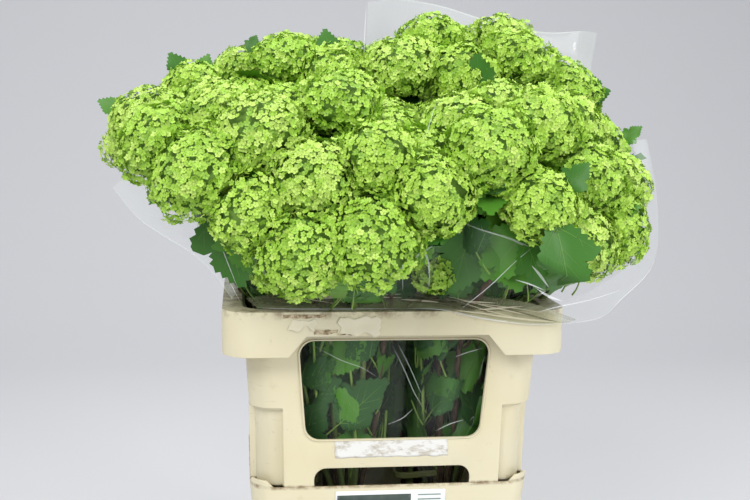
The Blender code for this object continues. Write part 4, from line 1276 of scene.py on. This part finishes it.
# Bright folds of each sleeve: width, depth, and the line that the fold follows in X and Z
GLINTS = {
    "front_left": (
        (0.0019, -0.172, ((-0.216, 0.57), (-0.182, 0.542), (-0.138, 0.511), (-0.094, 0.48))),
        (0.0014, -0.168, ((-0.216, 0.57), (-0.199, 0.524), (-0.182, 0.48))),
        (0.0025, -0.15, ((-0.237, 0.569), (-0.231, 0.563), (-0.223, 0.561))),
        (0.0019, -0.232, ((-0.039, 0.559), (-0.03, 0.569), (-0.018, 0.577))),
        (0.001, -0.233, ((-0.037, 0.553), (-0.026, 0.561), (-0.017, 0.574))),
        (0.0014, -0.215, ((-0.006, 0.484), (-0.007, 0.517), (-0.007, 0.543), (-0.002, 0.565))),
        (0.0006, -0.118, ((-0.097, 0.405), (-0.064, 0.387), (-0.038, 0.377), (-0.019, 0.365))),
        (0.0007, -0.118, ((-0.003, 0.404), (0.012, 0.374), (0.024, 0.347), (0.036, 0.327))),
        (0.0007, -0.117, ((0.004, 0.405), (0.019, 0.376), (0.034, 0.342))),
        (0.0007, -0.113, ((-0.006, 0.307), (0.011, 0.314), (0.025, 0.326))),
    ),
    "front_right": (
        (0.0014, -0.19, ((0.002, 0.563), (0.009, 0.601), (0.022, 0.655), (0.031, 0.685))),
        (0.001, -0.236, ((0.053, 0.466), (0.084, 0.491), (0.111, 0.517), (0.129, 0.532))),
        (0.0031, -0.245, ((0.127, 0.514), (0.137, 0.503), (0.146, 0.491))),
        (0.0025, -0.24, ((0.134, 0.489), (0.147, 0.481), (0.163, 0.475))),
        (0.0015, -0.243, ((0.11, 0.499), (0.126, 0.494), (0.143, 0.487))),
        (0.0015, -0.215, ((0.144, 0.459), (0.168, 0.465), (0.202, 0.472), (0.236, 0.483))),
        (0.0019, -0.225, ((0.055, 0.569), (0.061, 0.586), (0.067, 0.601))),
        (0.0014, -0.22, ((0.032, 0.573), (0.044, 0.586), (0.055, 0.594))),
        (0.0015, -0.125, ((0.304, 0.634), (0.308, 0.576), (0.309, 0.502))),
        (0.0011, -0.117, ((0.11, 0.394), (0.105, 0.377), (0.102, 0.362))),
        (0.0009, -0.118, ((0.071, 0.388), (0.088, 0.394), (0.107, 0.399))),
        (0.0011, -0.113, ((0.052, 0.298), (0.069, 0.306), (0.086, 0.311))),
        (0.001, -0.113, ((0.093, 0.31), (0.098, 0.314), (0.096, 0.302))),
    ),
    "left": (
        (0.0014, -0.15, ((-0.216, 0.568), (-0.228, 0.597), (-0.24, 0.621))),
        (0.0011, -0.12, ((-0.217, 0.566), (-0.246, 0.584), (-0.274, 0.598))),
        (0.0012, -0.15, ((-0.207, 0.52), (-0.195, 0.492), (-0.179, 0.461))),
    ),
    "back_right": (
        (0.0015, 0.09, ((-0.016, 0.728), (-0.017, 0.763), (-0.015, 0.811))),
        (0.0014, 0.07, ((0.272, 0.714), (0.272, 0.748), (0.269, 0.787))),
        (0.0025, 0.13, ((0.16, 0.8), (0.177, 0.798), (0.194, 0.792))),
    ),
}


def make_film():
    surfaces = [plain_material(name, colour, roughness, Alpha=opacity, Specular_IOR_Level=specular)
                for name, colour, roughness, opacity, specular in FILM_LOOKS]
    for index, name in enumerate(NAMES):
        patches = Patches()
        patches.add(FILM_POINTS[index].reshape(1, -1, 3), grid_faces(FILM_ROWS, FILM_SIDES), CLEAR)
        add_creases(patches, index, name)
        for owner, look, outer, inner in FLAPS:
            if owner == name:
                add_flap(patches, outer, inner, look)
        for width, depth, line in GLINTS.get(name, ()):
            path = smooth_path([Vector((x, depth, z)) for x, z in line], 5)
            add_ribbon(patches, path, width, GLINT)
        piece = patches.build(f"film_{name}", surfaces)
        piece.data.shade_smooth()
        finish_piece(piece, [f"film_sleeve_{name}"])


def add_creases(patches, index, name):
    """Ribbons along the film's edge and its creases, where it lies double, painted paler and denser as a
    highlight.
    """
    edge = [on_film(index, FULL_TURN * side / FILM_SIDES, TOPS[index][side] - 0.0012)
            for side in range(FILM_SIDES)]
    add_ribbon(patches, np.array(edge + edge[:1]), EDGE_WIDTH)
    for start, high, end, low, width in CREASES[name]:
        path = []
        for step in range(CREASE_STEPS + 1):
            share = step / CREASE_STEPS
            angle = math.radians(start + ((end - start + 180) % 360 - 180) * share)
            path.append(on_film(index, angle, high + (low - high) * share))
        add_ribbon(patches, np.array(path), width)


def add_flap(patches, outer, inner, look):
    """A sheet of film between two edges, wrinkled, with a painted highlight along the first."""
    first = smooth_path([Vector(point) for point in outer], 6)
    second = smooth_path([Vector(point) for point in inner], 6)
    points = []
    for share in np.arange(FLAP_ROWS) / (FLAP_ROWS - 1):
        line = first * (1 - share) + second * share
        ripple = [noise.noise(Vector((point[0] * 20, point[1] * 20, share * 4))) for point in line]
        depth = np.array(ripple) * FLAP_RIPPLE * math.sin(math.pi * share * 0.9)
        points.append(line + FLAP_RIPPLE_WAY * depth[:, None])
    faces = grid_faces(FLAP_ROWS, len(first), round_columns=False)
    patches.add(np.array(points).reshape(1, -1, 3), faces, look)
    add_ribbon(patches, first, FLAP_EDGE_WIDTH, GLINT)
    if look == BUNCHED:
        add_streaks(patches, first, second)


def add_streaks(patches, first, second):
    """Creases along a bunched sheet, painted in turn with a pale highlight and a dark shade."""
    draw = np.random.default_rng(len(first))
    for number in range(BUNCHED_STREAKS):
        start = draw.integers(0, len(first) - 8)
        end = min(len(first), start + draw.integers(6, 18))
        share = np.linspace(draw.uniform(0.1, 0.95), draw.uniform(0.1, 0.95), end - start)[:, None]
        line = first[start:end] * (1 - share) + second[start:end] * share + STREAK_LIFT
        add_ribbon(patches, line, draw.uniform(*STREAK_WIDTH), (STREAK_HIGHLIGHT, STREAK_SHADE)[number % 2])


def add_ribbon(patches, path, width, look=CREASE_HIGHLIGHT):
    """A flat ribbon along the path, tapered to its ends unless it is closed."""
    along = unit_length(np.gradient(path, axis=0))
    across = unit_length(np.cross(along, path * (1, 1, 0)))
    closed = np.allclose(path[0], path[-1])
    share = np.ones(len(path)) if closed else np.sin(np.linspace(0.12, math.pi - 0.12, len(path)))
    half = across * (width / 2 * share)[:, None]
    points = np.stack([path + half, path - half], 1).reshape(1, -1, 3)
    faces = [(2 * row, 2 * row + 1, 2 * row + 3, 2 * row + 2) for row in range(len(path) - 1)]
    patches.add(points, faces, look)


# The container: a windowed collar on a bucket

WALL = 0.003
CORNER_STEPS = 9
BUCKET_BASE = (0.290, 0.193)
BUCKET_FLOOR = 0.004
BUCKET_RADIUS = 0.028
EAR_HEIGHT = 0.008
COLLAR_BOTTOM = 0.2353
COLLAR_FOOT = (0.334, 0.237)
COLLAR_STEP = (0.338, 0.241)
STEP_HEIGHTS = (0.326, 0.331)
CORNER_INSET = 0.007
SHOULDER = 0.009
RIM_RADIUS = 0.034
BODY_RADIUS = 0.030
SKIRT_LOW = 0.397
NOTCH = ((0.105, 0.421), (0.125, 0.397))
WINDOW = ((0.1125, 0.411), (0.1025, 0.292), 0.017)
SLOT = ((0.093, 0.257), (0.093, 0.225), 0.014)
# From where to where in depth the notches and the openings are cut
CUT_SKIRT = (0.160, 0.133)
CUT_WALL = (0.144, 0.0985)
LIP_RADIUS = 0.0011
SOFTENED_ABOVE = math.radians(38)
SHARP_ABOVE = math.radians(32)


def rounded_outline(size, radius, inset=0.0, shoulder=SHOULDER):
    """A rounded rectangle whose corners can be set in from its four flat sides."""
    points = []
    for turn, (side_x, side_y) in enumerate(((1, -1), (1, 1), (-1, 1), (-1, -1))):
        centre = Vector((side_x * (size[0] / 2 - radius), side_y * (size[1] / 2 - radius)))
        start = math.radians(90 * turn - 90)
        arc = []
        for step in range(CORNER_STEPS + 1):
            angle = start + math.radians(90) * step / CORNER_STEPS
            arc.append(centre + Vector((math.cos(angle), math.sin(angle))) * radius)
        inward = Vector((side_x, side_y)) * inset
        end = start + math.radians(90)
        points.append(arc[0] + Vector((math.sin(start), -math.cos(start))) * shoulder)
        points += [point - inward for point in arc]
        points.append(arc[-1] + Vector((-math.sin(end), math.cos(end))) * shoulder)
    return points


def level_ring(size, radius, z, inset=0.0, lift=0.0, shoulder=SHOULDER):
    outline = rounded_outline(size, radius, inset, shoulder)
    corner = CORNER_STEPS + 3
    ring = []
    for number, point in enumerate(outline):
        step = number % corner
        raised = lift * min(1, max(0, min(step - 1, corner - 2 - step)) / 2)
        ring.append((point.x, point.y, z + raised))
    return ring


def grown(size, amount):
    return (size[0] + 2 * amount, size[1] + 2 * amount)


def loft(name, rings, closed_loop):
    """A body through a row of rings, closed on itself or by a face at each end."""
    sides = len(rings[0])
    vertices = [point for ring in rings for point in ring]
    faces = grid_faces(len(rings), sides, round_rows=closed_loop)
    if not closed_loop:
        faces.append(tuple(reversed(range(sides))))
        faces.append(tuple((len(rings) - 1) * sides + side for side in range(sides)))
    return add_shape(name, vertices, faces, [])


def rounded_hole(top, low, radius, steps=7):
    """The outline of a symmetric opening in X and Z, narrower below, with round corners."""
    corners = [Vector((side * half, z)) for (half, z), sides in ((low, (-1, 1)), (top, (1, -1)))
               for side in sides]
    points = []
    for number, corner in enumerate(corners):
        to_before = (corners[number - 1] - corner).normalized()
        to_after = (corners[(number + 1) % 4] - corner).normalized()
        half = to_before.angle(to_after) / 2
        reach = radius / math.tan(half)
        middle = corner + (to_before + to_after).normalized() * (radius / math.sin(half))
        first = (corner + to_before * reach - middle).normalized()
        last = (corner + to_after * reach - middle).normalized()
        points += [middle + first.slerp(last, step / steps) * radius for step in range(steps + 1)]
    return [tuple(point) for point in points]


def cut(target, outline, near, far):
    """Cut an opening that runs along Y out of the target, between two depths."""
    count = len(outline)
    vertices = [(x, depth, z) for depth in (near, far) for x, z in outline]
    faces = [tuple(range(count)), tuple(reversed(range(count, 2 * count)))]
    faces += [(side, side + count, (side + 1) % count + count, (side + 1) % count) for side in range(count)]
    cutter = add_shape("cutter", vertices, faces, [])
    face_outwards(cutter.data)
    change = target.modifiers.new("cut", "BOOLEAN")
    change.operation = "DIFFERENCE"
    change.object = cutter
    settle(target)
    bpy.data.objects.remove(cutter)


def settle(target):
    """Apply all modifiers of the object to its mesh."""
    seen = target.evaluated_get(bpy.context.evaluated_depsgraph_get())
    target.data = bpy.data.meshes.new_from_object(seen)
    target.modifiers.clear()


def soften(target, width):
    """Round the edges a little, as moulded plastic has them."""
    bevel = target.modifiers.new("bevel", "BEVEL")
    bevel.width = width
    bevel.segments = 3
    bevel.limit_method = "ANGLE"
    bevel.angle_limit = SOFTENED_ABOVE
    bevel.use_clamp_overlap = True
    settle(target)
    target.data.shade_smooth()
    target.data.set_sharp_from_angle(angle=SHARP_ABOVE)


# Marks on the plastic, one over the other: scale, detail, roughness and stretch of the pattern,
# where it begins and is full, how strong it gets, its colour, and whether it comes in groups
MARKS = (
    ((26, 8, 0.68, None), (0.60, 0.70), 0.42, (0.52, 0.47, 0.30), False),
    ((70, 6, 0.70, None), (0.63, 0.70), 0.50, (0.30, 0.24, 0.14), True),
    ((60, 6, 0.70, (0.25, 0.25, 2.6)), (0.645, 0.70), 0.35, (0.40, 0.32, 0.20), False),
    ((130, 8, 0.75, (0.3, 0.3, 1.6)), (0.66, 0.72), 0.50, (0.90, 0.83, 0.66), False),
)


def cream_plastic(name):
    """Worn cream plastic: uneven colour, scattered marks, dirt on the rim, and a painted shadow along the
    seam where the collar sits in the bucket.
    """
    made = plain_material(name, CREAM, 0.42, Specular_IOR_Level=0.4)
    shade = Shading(made)
    z = shade.node("ShaderNodeSeparateXYZ", {"Vector": shade.place}).outputs["Z"]
    darker = tuple(value * share for value, share in zip(CREAM, (0.97, 0.94, 0.86)))
    colour = shade.mix(shade.grey(shade.noise(7, 3), 0.35, 0.68), CREAM, darker)
    for pattern, (begins, full), most, mark, grouped in MARKS:
        strength = shade.grey(shade.noise(*pattern), begins, full, 0.0, most)
        if grouped:
            strength = shade.product(strength, shade.grey(shade.noise(9, 2), 0.50, 0.60))
        colour = shade.mix(strength, colour, mark)
    rim_top = shade.grey(z, RIM_TOP - 0.010, RIM_TOP - 0.001)
    grime_and_seam_shadow = shade.grey(shade.noise(55, 8, 0.72), 0.46, 0.62, 0.0, 0.75)
    colour = shade.mix(shade.product(rim_top, grime_and_seam_shadow), colour, DIRT_AND_SEAM_SHADOW)
    # A painted shadow along the seam where the collar sits in the bucket, broken up by noise
    ledge = shade.product(shade.grey(z, BUCKET_HEIGHT - 0.004, BUCKET_HEIGHT - 0.0008),
                          shade.grey(z, BUCKET_HEIGHT + 0.003, BUCKET_HEIGHT + 0.0008))
    grime_and_seam_shadow = shade.grey(shade.noise(80, 6, 0.7), 0.40, 0.60, 0.15, 0.85)
    colour = shade.mix(shade.product(ledge, grime_and_seam_shadow), colour, DIRT_AND_SEAM_SHADOW)
    shade.finish(colour, shade.grey(shade.noise(40, 6), 0.3, 0.7, 0.34, 0.56))
    shade.bump(shade.noise(230, 5, 0.6), 0.10, 0.0004)
    return made


def make_collar(surface):
    under = RIM_TOP - WALL
    inner = BODY_RADIUS - WALL
    inside = SHOULDER + WALL
    step_low, step_high = STEP_HEIGHTS
    rings = [
        level_ring(COLLAR_FOOT, BODY_RADIUS, COLLAR_BOTTOM, CORNER_INSET),
        level_ring(COLLAR_STEP, BODY_RADIUS, step_low, CORNER_INSET),
        level_ring(COLLAR_STEP, BODY_RADIUS, step_high),
        level_ring(COLLAR_NECK, BODY_RADIUS, under),
        level_ring(grown(COLLAR_RIM, -WALL), RIM_RADIUS - WALL, under),
        level_ring(grown(COLLAR_RIM, -WALL), RIM_RADIUS - WALL, SKIRT_LOW),
        level_ring(COLLAR_RIM, RIM_RADIUS, SKIRT_LOW),
        level_ring(COLLAR_RIM, RIM_RADIUS, RIM_TOP),
        level_ring(COLLAR_NECK, BODY_RADIUS, RIM_TOP),
        level_ring(grown(COLLAR_NECK, -WALL), inner, under, shoulder=inside),
        level_ring(grown(COLLAR_STEP, -WALL), inner, step_high, shoulder=inside),
        level_ring(grown(COLLAR_STEP, -WALL), inner, step_low, CORNER_INSET, shoulder=inside),
        level_ring(grown(COLLAR_FOOT, -WALL), inner, COLLAR_BOTTOM, CORNER_INSET, shoulder=inside),
    ]
    collar = loft("collar_shell", rings, closed_loop=True)
    (top_half, top_z), (low_half, low_z) = NOTCH
    notch = [(-low_half, low_z - 0.01), (low_half, low_z - 0.01), (low_half, low_z),
             (top_half, top_z), (-top_half, top_z), (-low_half, low_z)]
    window = rounded_hole(*WINDOW)
    for sign in (-1, 1):
        for outline, (near, far) in ((notch, CUT_SKIRT), (window, CUT_WALL), (rounded_hole(*SLOT), CUT_WALL)):
            cut(collar, outline, sign * near, sign * far)
    soften(collar, 0.0016)
    finish_shell(collar, surface, "collar")
    for side, sign in (("front", -1), ("back", 1)):
        finish_piece(window_lip(f"window_lip_{side}", window, sign, surface))


def wall_depth(z):
    """How far the collar's outer face lies from the middle, front or back, at a height."""
    table = ((COLLAR_BOTTOM, COLLAR_FOOT[1]), (STEP_HEIGHTS[0], COLLAR_STEP[1]),
             (RIM_TOP - WALL, COLLAR_NECK[1]))
    heights, depths = zip(*table)
    return np.interp(z, heights, depths) / 2


def window_lip(name, outline, sign, surface):
    """The thin raised lip round a window, which catches the light."""
    path = np.array([(x, sign * (wall_depth(z) + 0.0003), z) for x, z in outline + outline[:1]])
    middle = path[:-1].mean(0)
    widened = middle + (path - middle) * (1.012, 1, 1.02)
    patches = Patches()
    add_taper(patches, widened, LIP_RADIUS, LIP_RADIUS, 8, 0)
    lip = patches.build(name, [surface])
    lip.data.shade_smooth()
    return lip


def finish_shell(shell, surface, node):
    """Give a part of the container its plastic."""
    shell.data.materials.clear()
    shell.data.materials.append(surface)
    finish_piece(shell, [node])


def make_bucket(surface):
    foot = grown(BUCKET_BASE, -BUCKET_FLOOR)
    rings = [
        level_ring(foot, BUCKET_RADIUS - BUCKET_FLOOR, 0.0),
        level_ring(BUCKET_BASE, BUCKET_RADIUS, BUCKET_FLOOR),
        level_ring(BUCKET_TOP, BUCKET_RADIUS, BUCKET_HEIGHT, lift=EAR_HEIGHT),
        level_ring(grown(BUCKET_TOP, -WALL), BUCKET_RADIUS - WALL, BUCKET_HEIGHT, lift=EAR_HEIGHT),
        level_ring(grown(BUCKET_BASE, -WALL), BUCKET_RADIUS - WALL, BUCKET_FLOOR),
    ]
    bucket = loft("bucket_shell", rings, closed_loop=False)
    soften(bucket, 0.0007)
    finish_shell(bucket, surface, "bucket")


PLATE_COLUMNS, PLATE_ROWS = 34, 9
PLATE_GAP = 0.0002
CARD_RULES = 12


def add_plate(name, x_range, z_range, depth, thickness, surface, ragged=0.0, seed=0):
    """A thin plate on the front, with an uneven outline and buckles if ragged is over 0."""
    columns, rows = PLATE_COLUMNS, PLATE_ROWS
    vertices, faces = [], []
    for layer in (PLATE_GAP, PLATE_GAP + thickness):
        for row in range(rows + 1):
            for column in range(columns + 1):
                x = x_range[0] + (x_range[1] - x_range[0]) * column / columns
                z = z_range[0] + (z_range[1] - z_range[0]) * row / rows
                rise, way = 2 * row / rows - 1, 2 * column / columns - 1
                z += ragged * rise * noise.noise(Vector((x * 90, seed, math.copysign(5, rise))))
                x += ragged * way ** 5 * noise.noise(Vector((z * 120, seed, math.copysign(9, way))))
                buckle = max(0.0, noise.noise(Vector((x * 45, z * 60, seed)))) * ragged * 0.3
                vertices.append((x, -(depth(z) + (layer + buckle)), z))
    wide = columns + 1
    size = wide * (rows + 1)
    for row in range(rows):
        for column in range(columns):
            corner = row * wide + column
            faces.append((corner, corner + wide, corner + wide + 1, corner + 1))
            faces.append((size + corner, size + corner + 1, size + corner + wide + 1, size + corner + wide))
    border = list(range(wide))
    border += [row * wide + columns for row in range(1, rows + 1)]
    border += [rows * wide + column for column in range(columns - 1, -1, -1)]
    border += [row * wide for row in range(rows - 1, 0, -1)]
    for here, there in zip(border, border[1:] + border[:1]):
        faces.append((here, there, there + size, here + size))
    plate = add_shape(name, vertices, faces, [surface])
    face_outwards(plate.data)
    finish_piece(plate)


def bucket_depth(z):
    return np.interp(z, (BUCKET_FLOOR, BUCKET_HEIGHT), (BUCKET_BASE[1], BUCKET_TOP[1])) / 2


def rim_depth(_):
    return COLLAR_RIM[1] / 2


def make_labels():
    """A torn strip of white paper left on the collar, and a card in a holder on the bucket."""
    paper = plain_material("paper", (0.80, 0.79, 0.76), 0.7)
    shade = Shading(paper)
    worn = shade.grey(shade.noise(60, 7, 0.7, stretch=(1.0, 1.0, 2.2)), 0.49, 0.62)
    shade.finish(shade.mix(worn, (0.76, 0.75, 0.72), (0.50, 0.46, 0.38)))
    field = plain_material("card_field", (0.035, 0.055, 0.045), 0.35)
    shade = Shading(field)
    worn = shade.grey(shade.noise(45, 5, 0.65), 0.35, 0.70)
    shade.finish(shade.mix(worn, (0.030, 0.050, 0.042), (0.075, 0.10, 0.085)))
    card = plain_material("card", (0.82, 0.84, 0.84), 0.35)
    rule = plain_material("card_rule", (0.20, 0.27, 0.24), 0.4)
    add_plate("paper_strip", (-0.069, 0.0655), (0.2695, 0.2905), wall_depth, 0.0002, paper, 0.0016, 3)
    add_plate("card", (-0.0678, 0.0645), (0.135, 0.2287), bucket_depth, 0.0005, card)
    add_plate("card_field", (-0.0655, 0.0225), (0.142, 0.2235), bucket_depth, 0.0007, field)
    for number in range(CARD_RULES):
        top = 0.2228 - number * 0.0058
        heights = (top - 0.0015, top)
        add_plate(f"card_rule_{number:02d}", (0.0310, 0.0585), heights, bucket_depth, 0.0007, rule)


# Remains of a label: left, right, low, high, whether it is a brown stain, and how ragged
RESIDUE = (
    (-0.0680, -0.0215, 0.4235, 0.4430, False, 0.0090),
    (-0.1250, -0.0950, 0.4290, 0.4400, False, 0.0080),
    (-0.0965, -0.0700, 0.4238, 0.4285, True, 0.0020),
    (-0.0700, -0.0500, 0.4222, 0.4240, True, 0.0012),
    (-0.1320, -0.0830, 0.4425, 0.4462, True, 0.0022),
    (-0.0350, -0.0330, 0.4240, 0.4425, True, 0.0006),
)


def make_residue():
    """The scuffed remains of a peeled label on the front of the rim."""
    scuffed = plain_material("residue", (0.735, 0.675, 0.50), 0.6)
    brown = plain_material("residue_edge", (0.26, 0.18, 0.10), 0.8)
    shade = Shading(brown)
    worn = shade.grey(shade.noise(160, 6, 0.7), 0.42, 0.58)
    shade.finish(shade.mix(worn, (0.20, 0.13, 0.07), (0.60, 0.50, 0.33)))
    for number, (left, right, low, high, stain, ragged) in enumerate(RESIDUE):
        surface, thickness = (brown, 0.00020) if stain else (scuffed, 0.00012)
        add_plate(f"residue_{number}", (left, right), (low, high), rim_depth, thickness, surface,
                  ragged, number + 11)


# Floor, light and camera

CAMERA_PLACE = (-0.1787, -1.3588, 0.6648)
CAMERA_YAW, CAMERA_PITCH, CAMERA_ROLL = -0.1235, -0.1187, 0.0141
CAMERA_LENS = 52.32
FLOOR_GREY = (0.60, 0.60, 0.615)
FLOOR_END, FLOOR_BEND = 1.6, 1.4
WORLD_COLOUR, WORLD_STRENGTH = (0.93, 0.96, 1.0, 1), 0.70
LIT_POINT = (0, 0, 0.55)
# Lights: name, place, size, power and colour
LIGHTS = (
    ("key", (-1.1, -1.9, 2.3), (1.5, 1.2), 36, (1.0, 0.99, 0.97)),
    ("fill", (1.9, -1.5, 1.3), (1.4, 1.4), 17, (1, 1, 1)),
    ("top", (0.2, 0.3, 2.6), (1.8, 1.4), 30, (1, 1, 1)),
    ("glint_left", (-0.9, -1.3, 1.5), (0.16, 0.5), 6, (1, 1, 1)),
    ("glint_right", (1.2, -1.1, 1.0), (0.14, 0.6), 5, (1, 1, 1)),
)


def make_camera():
    level = math.cos(CAMERA_PITCH)
    forward = Vector((-math.sin(CAMERA_YAW) * level, math.cos(CAMERA_YAW) * level, math.sin(CAMERA_PITCH)))
    across = Vector((math.cos(CAMERA_YAW), math.sin(CAMERA_YAW), 0))
    above = across.cross(forward)
    right = across * math.cos(CAMERA_ROLL) + above * math.sin(CAMERA_ROLL)
    top = above * math.cos(CAMERA_ROLL) - across * math.sin(CAMERA_ROLL)
    turn = Matrix((right, top, -forward)).transposed().to_4x4()
    data = bpy.data.cameras.new("camera")
    data.lens = CAMERA_LENS
    data.sensor_width = 36
    data.clip_end = 50
    camera = link(bpy.data.objects.new("camera", data))
    camera.matrix_world = Matrix.Translation(CAMERA_PLACE) @ turn
    bpy.context.scene.camera = camera


def make_stage():
    """A pale floor that curves up into a backdrop."""
    profile = [(-6.0, 0.0), (FLOOR_END, 0.0)]
    for step in range(1, 11):
        turn = math.radians(9 * step)
        profile.append((FLOOR_END + FLOOR_BEND * math.sin(turn), FLOOR_BEND - FLOOR_BEND * math.cos(turn)))
    profile.append((3.0, 6.0))
    vertices = [(x, y, z - 0.0002) for y, z in profile for x in (-7.0, 7.0)]
    faces = [(2 * row, 2 * row + 1, 2 * row + 3, 2 * row + 2) for row in range(len(profile) - 1)]
    floor = add_shape("floor", vertices, faces, [plain_material("floor", FLOOR_GREY, 0.9)])
    floor.data.shade_smooth()


def add_light(name, place, size, power, colour):
    data = bpy.data.lights.new(name, "AREA")
    data.shape = "RECTANGLE"
    data.size, data.size_y = size
    data.energy = power
    data.color = colour
    lamp = link(bpy.data.objects.new(name, data))
    lamp.location = place
    lamp.rotation_euler = (Vector(LIT_POINT) - Vector(place)).to_track_quat("-Z", "Y").to_euler()


def make_lights():
    world = bpy.data.worlds.new("world")
    world.use_nodes = True
    background = world.node_tree.nodes["Background"]
    background.inputs["Color"].default_value = WORLD_COLOUR
    background.inputs["Strength"].default_value = WORLD_STRENGTH
    bpy.context.scene.world = world
    bpy.context.scene.view_settings.view_transform = "Standard"
    for light in LIGHTS:
        add_light(*light)


make_camera()
make_collar(cream_plastic("cream_plastic"))
make_bucket(cream_plastic("cream_plastic_bucket"))
make_labels()
make_residue()
make_blossom()
make_twigs()
make_stems()
make_leaves()
make_film()
make_stage()
make_lights()
